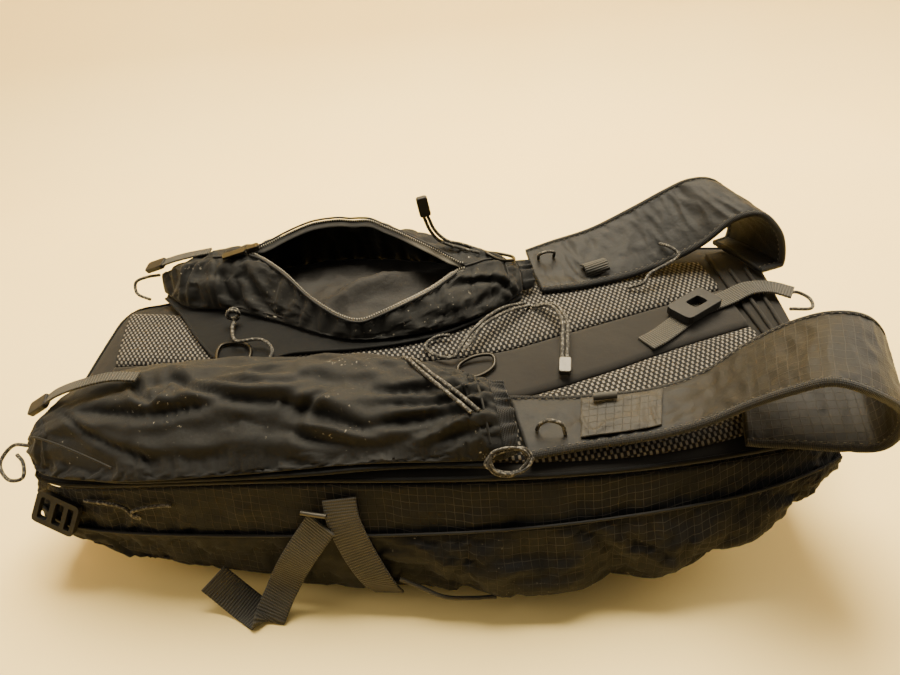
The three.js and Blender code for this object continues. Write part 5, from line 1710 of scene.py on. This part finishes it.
sideways = np.array([0, 1.0, 0])
tape_strip(
    "pull_strap",
    "pull_strap_near",
    [
        (over_bottle(-33.6, 2.8, 1.8), sideways),
        (over_bottle(-37, 4, 5), sideways),
        (over_bottle(-41, 4.6, 6), sideways),
        (over_bottle(-44.4, 6.2, 5), sideways),
        (over_bottle(-46.2, 7.4, 6), sideways),
    ],
    8,
    1.5,
    60,
)
tape_strip(
    "far_end_strap",
    "end_strap_far",
    [
        (over_zipped(-26.6, 55.4, 3.2), sideways),
        (over_zipped(-29.4, 56.4, 4.4), sideways),
        (over_zipped(-32, 58.4, 6), sideways),
        (over_zipped(-34.6, 61, 8), sideways),
    ],
    8,
    1.5,
    40,
)
top_places = [
    on_deck(x, y, lift)
    for x, y, lift in (
        (56, 5.4, 5.4),
        (53.6, 9, 5.8),
        (50.4, 10, 5.4),
        (47.4, 8.8, 2.6),
        (44, 7, 1.8),
        (41, 5.2, 1.6),
        (37.6, 0.8, 1.6),
        (34.4, -3, 1.6),
        (32, -5, 1.4),
    )
]
top_rows = []
for k, p in enumerate(top_places):
    way = top_places[min(k + 1, 8)] - top_places[max(k - 1, 0)]
    top_rows.append((p, unit(np.array([-way[1], way[0], 0]))))
tape_strip("top_webbing", "top_strap", top_rows, 15, 1.5, 110)
wall_side = np.array([1, -0.1, 0.25])
tape_strip(
    "side_webbing_down_the_wall",
    "side_strap_upper",
    [
        (on_shell(-10.4, 84, 2.8), np.array([1, -0.12, 0.1])),
        (on_shell(-10.2, 72, 5), wall_side),
        (on_wall(-8.8, 48, 3), wall_side),
        (on_wall(-7, 26, 3.8), np.array([1, -0.3, 0.2])),
        (on_wall(-6, 12, 3.6), np.array([1, -0.35, 0])),
    ],
    20,
    1.5,
    70,
)
tape_strip(
    "side_webbing_leg",
    "side_strap_leg",
    [
        (on_wall(-12.8, 70.6, 5.2), np.array([1, -0.3, 0.5])),
        (on_wall(-16.4, 44, 6.6), np.array([0.9, -0.2, 0.5])),
        (at(-19.4, -33.4, 20), np.array([0.9, -0.25, 0.35])),
        (at(-21, -35.8, 8), np.array([0.95, -0.2, 0.1])),
        (at(-21.8, -37.4, 2.6), np.array([1, -0.1, 0])),
        (at(-22.4, -36.2, 0.8), np.array([1, -0.1, 0])),
        (at(-24.2, -32.8, 2.4), np.array([0.95, 0.2, 0])),
        (at(-26.4, -29.6, 11), np.array([0.9, 0.3, 0.1])),
        (at(-28.2, -27.6, 22), np.array([0.9, 0.35, 0.15])),
    ],
    20,
    1.5,
    110,
)
tab_rows = []
for k in range(7):
    share = k / 6
    lift = GAP + 0.9 + 5 * np.sin(np.pi * share)
    place = over_band(STRAP_FAR, 0.1575, mix(0.62, 0.86, share), lift)
    edge_a = over_band(STRAP_FAR, 0.13, mix(0.62, 0.86, share), lift)
    edge_b = over_band(STRAP_FAR, 0.185, mix(0.62, 0.86, share), lift)
    tab_rows.append((place, edge_b - edge_a))
tab_width = float(np.linalg.norm(tab_rows[3][1]))
tape_strip("webbing_tab_on_far_strap", "strap_tab_far", tab_rows, tab_width, 1.5, 30)
piping_places = [
    on_wall(-4.4, 30, 3.4),
    on_wall(-2.4, 25, 3.8),
    on_wall(0.6, 19, 3.6),
    on_wall(4, 13, 3.8),
    on_wall(7, 9, 3.6),
]
belly_cord, _ = round_line("belly_piping", piping_places, 2.6, WEBBING)
keep(belly_cord, "webbing", "bottom_piping")

# Sleeve on the near strap: a loose ripstop patch sewn down round its edge, with a short length of
# wide elastic rolled up on it.
a = np.linspace(0.075, 0.165, 40)[:, None]
b = np.linspace(0.86, 0.12, 34)[None, :]
base = band_point(STRAP_NEAR, a + 0 * b, b + 0 * a, STRAP_HALF)
up = normals(base)
up = up * np.sign(up[..., 2:3])
u, v = (a - 0.075) * 900 + 0 * b, b * 40 + 0 * a
puffs = 0.9 + 1.1 * np.maximum(creases(u, v, 24, 95), 0) * smooth(np.minimum(b - 0.12, 0.86 - b) / 0.1)
patch = base + up * (STRAP_HALF + GAP + puffs)[..., None]
sleeve = cloth("strap_sleeve", patch if normals(patch)[0, 0, 2] > 0 else patch[:, ::-1], 0.7, SLEEVE)
keep(sleeve, "ripstop", "strap_sleeve_near")
rolled = [over_band(STRAP_NEAR, s, 0.2, 5.0) for s in (0.088, 0.1, 0.112)]
roll_piece, _ = round_line("rolled_elastic", rolled, 4.6, WEBBING, sides=5)
keep(roll_piece, "webbing", "elastic_roll_near")


# Hard pieces on the shell and straps: moulded buckles and end tabs, the zip's metal slider with its
# hinged pull, and hooks, a ring and a bar of round wire.
eased("ladder_lock", "ladder_buckle", 0.6, "hard_plastic", PLASTIC)
eased("top_buckle_frame", "top_buckle", 0.9, "hard_plastic", PLASTIC)
eased("pull_strap_end_tab", "pull_tab_near", 0.7, "hard_plastic", PLASTIC)
eased("far_strap_end_tab", "end_tab_far", 0.7, "hard_plastic", PLASTIC)
eased("zip_slider_body", "zip_slider", 0.6, "metal", GUNMETAL)
eased("zip_pull_tab", "zip_pull", 0.3, "metal", GUNMETAL, body="zip_pull")
for name, node, places in (
    (
        "far_hook",
        "far_wire_hook",
        ((-25, 22, 5), (-25.2, 14.6, 5), (-23.6, 12.2, 5), (-21.2, 12.8, 5), (-20.8, 18, 5), (-22, 21, 5)),
    ),
    (
        "centre_hook",
        "centre_wire_hook",
        ((6.6, -3, 1.9), (8.8, -1, 4), (11.4, -1.6, 4), (11.2, -5, 2.8), (8.8, -7.6, 1.9), (6.8, -6.2, 1.9)),
    ),
):
    hook, _ = round_line(name, [on_deck(*p) for p in places], 2.4, GUNMETAL, closed=True)
    keep(hook, "metal", node)
ring_places = (
    (14.6, 35.5, 2), (16.6, 36, 3.4), (18.4, 34, 4),
    (18.2, 30.5, 3.4), (16, 29.6, 2), (14.3, 32.4, 2),
)
pocket_ring, _ = round_line(
    "pocket_ring", [over_zipped(*p) for p in ring_places], 2.4, GUNMETAL, closed=True
)
keep(pocket_ring, "metal", "far_pocket_ring")
bar_places = [on_shell(-15, 77, 6.4), on_shell(-13.4, 77, 7.6), on_shell(-12, 77, 8.4)]
bar, _ = round_line("side_strap_bar_rod", bar_places, 3, METAL)
keep(bar, "metal", "side_strap_bar")

# Floor and light: a pale seamless sweep that curves up behind, under one large soft lamp, with a
# weaker lamp on each side.
floor_paint = Paint("warm_floor", roughness=0.9)
grain = floor_paint.noise(300, 2)
floor_paint.base(floor_paint.colour(rgb(246, 214, 136), rgb(250, 222, 150), grain))
sweep = []
for y, z in ((-3000, 0), (560, 0), (640, 4), (720, 24), (790, 70), (830, 140), (850, 300), (850, 3000)):
    sweep.append([[x, y, z - 0.2] for x in (-3200, -1000, 1000, 3200)])
stage = mesh_of(
    "floor_sweep",
    np.array(sweep, float).reshape(-1, 3) - SHIFT,
    grid_faces(8, 4).tolist(),
    None,
    floor_paint.material,
)
for name, place, size, power, tint in (
    ("lamp_above", (0.1, 0.5, 1.4), 0.9, 86, (1, 0.92, 0.74)),
    ("lamp_left", (-1.4, 0.1, 0.8), 0.8, 8, (1, 0.9, 0.72)),
    ("lamp_right", (1.3, 0.3, 0.7), 0.7, 14, (1, 0.9, 0.72)),
):
    light = bpy.data.lights.new(name, "AREA")
    light.size = size
    light.energy = power
    light.color = tint
    lamp = bpy.data.objects.new(name, light)
    bpy.context.scene.collection.objects.link(lamp)
    lamp.location = place
    aim = Vector((0, 0, 0.08)) - Vector(place)
    lamp.rotation_euler = aim.to_track_quat("-Z", "Y").to_euler()
world = bpy.data.worlds.new("soft_room")
world.use_nodes = True
world.node_tree.nodes["Background"].inputs[0].default_value = (1, 0.92, 0.78, 1)
world.node_tree.nodes["Background"].inputs[1].default_value = 0.3
bpy.context.scene.world = world
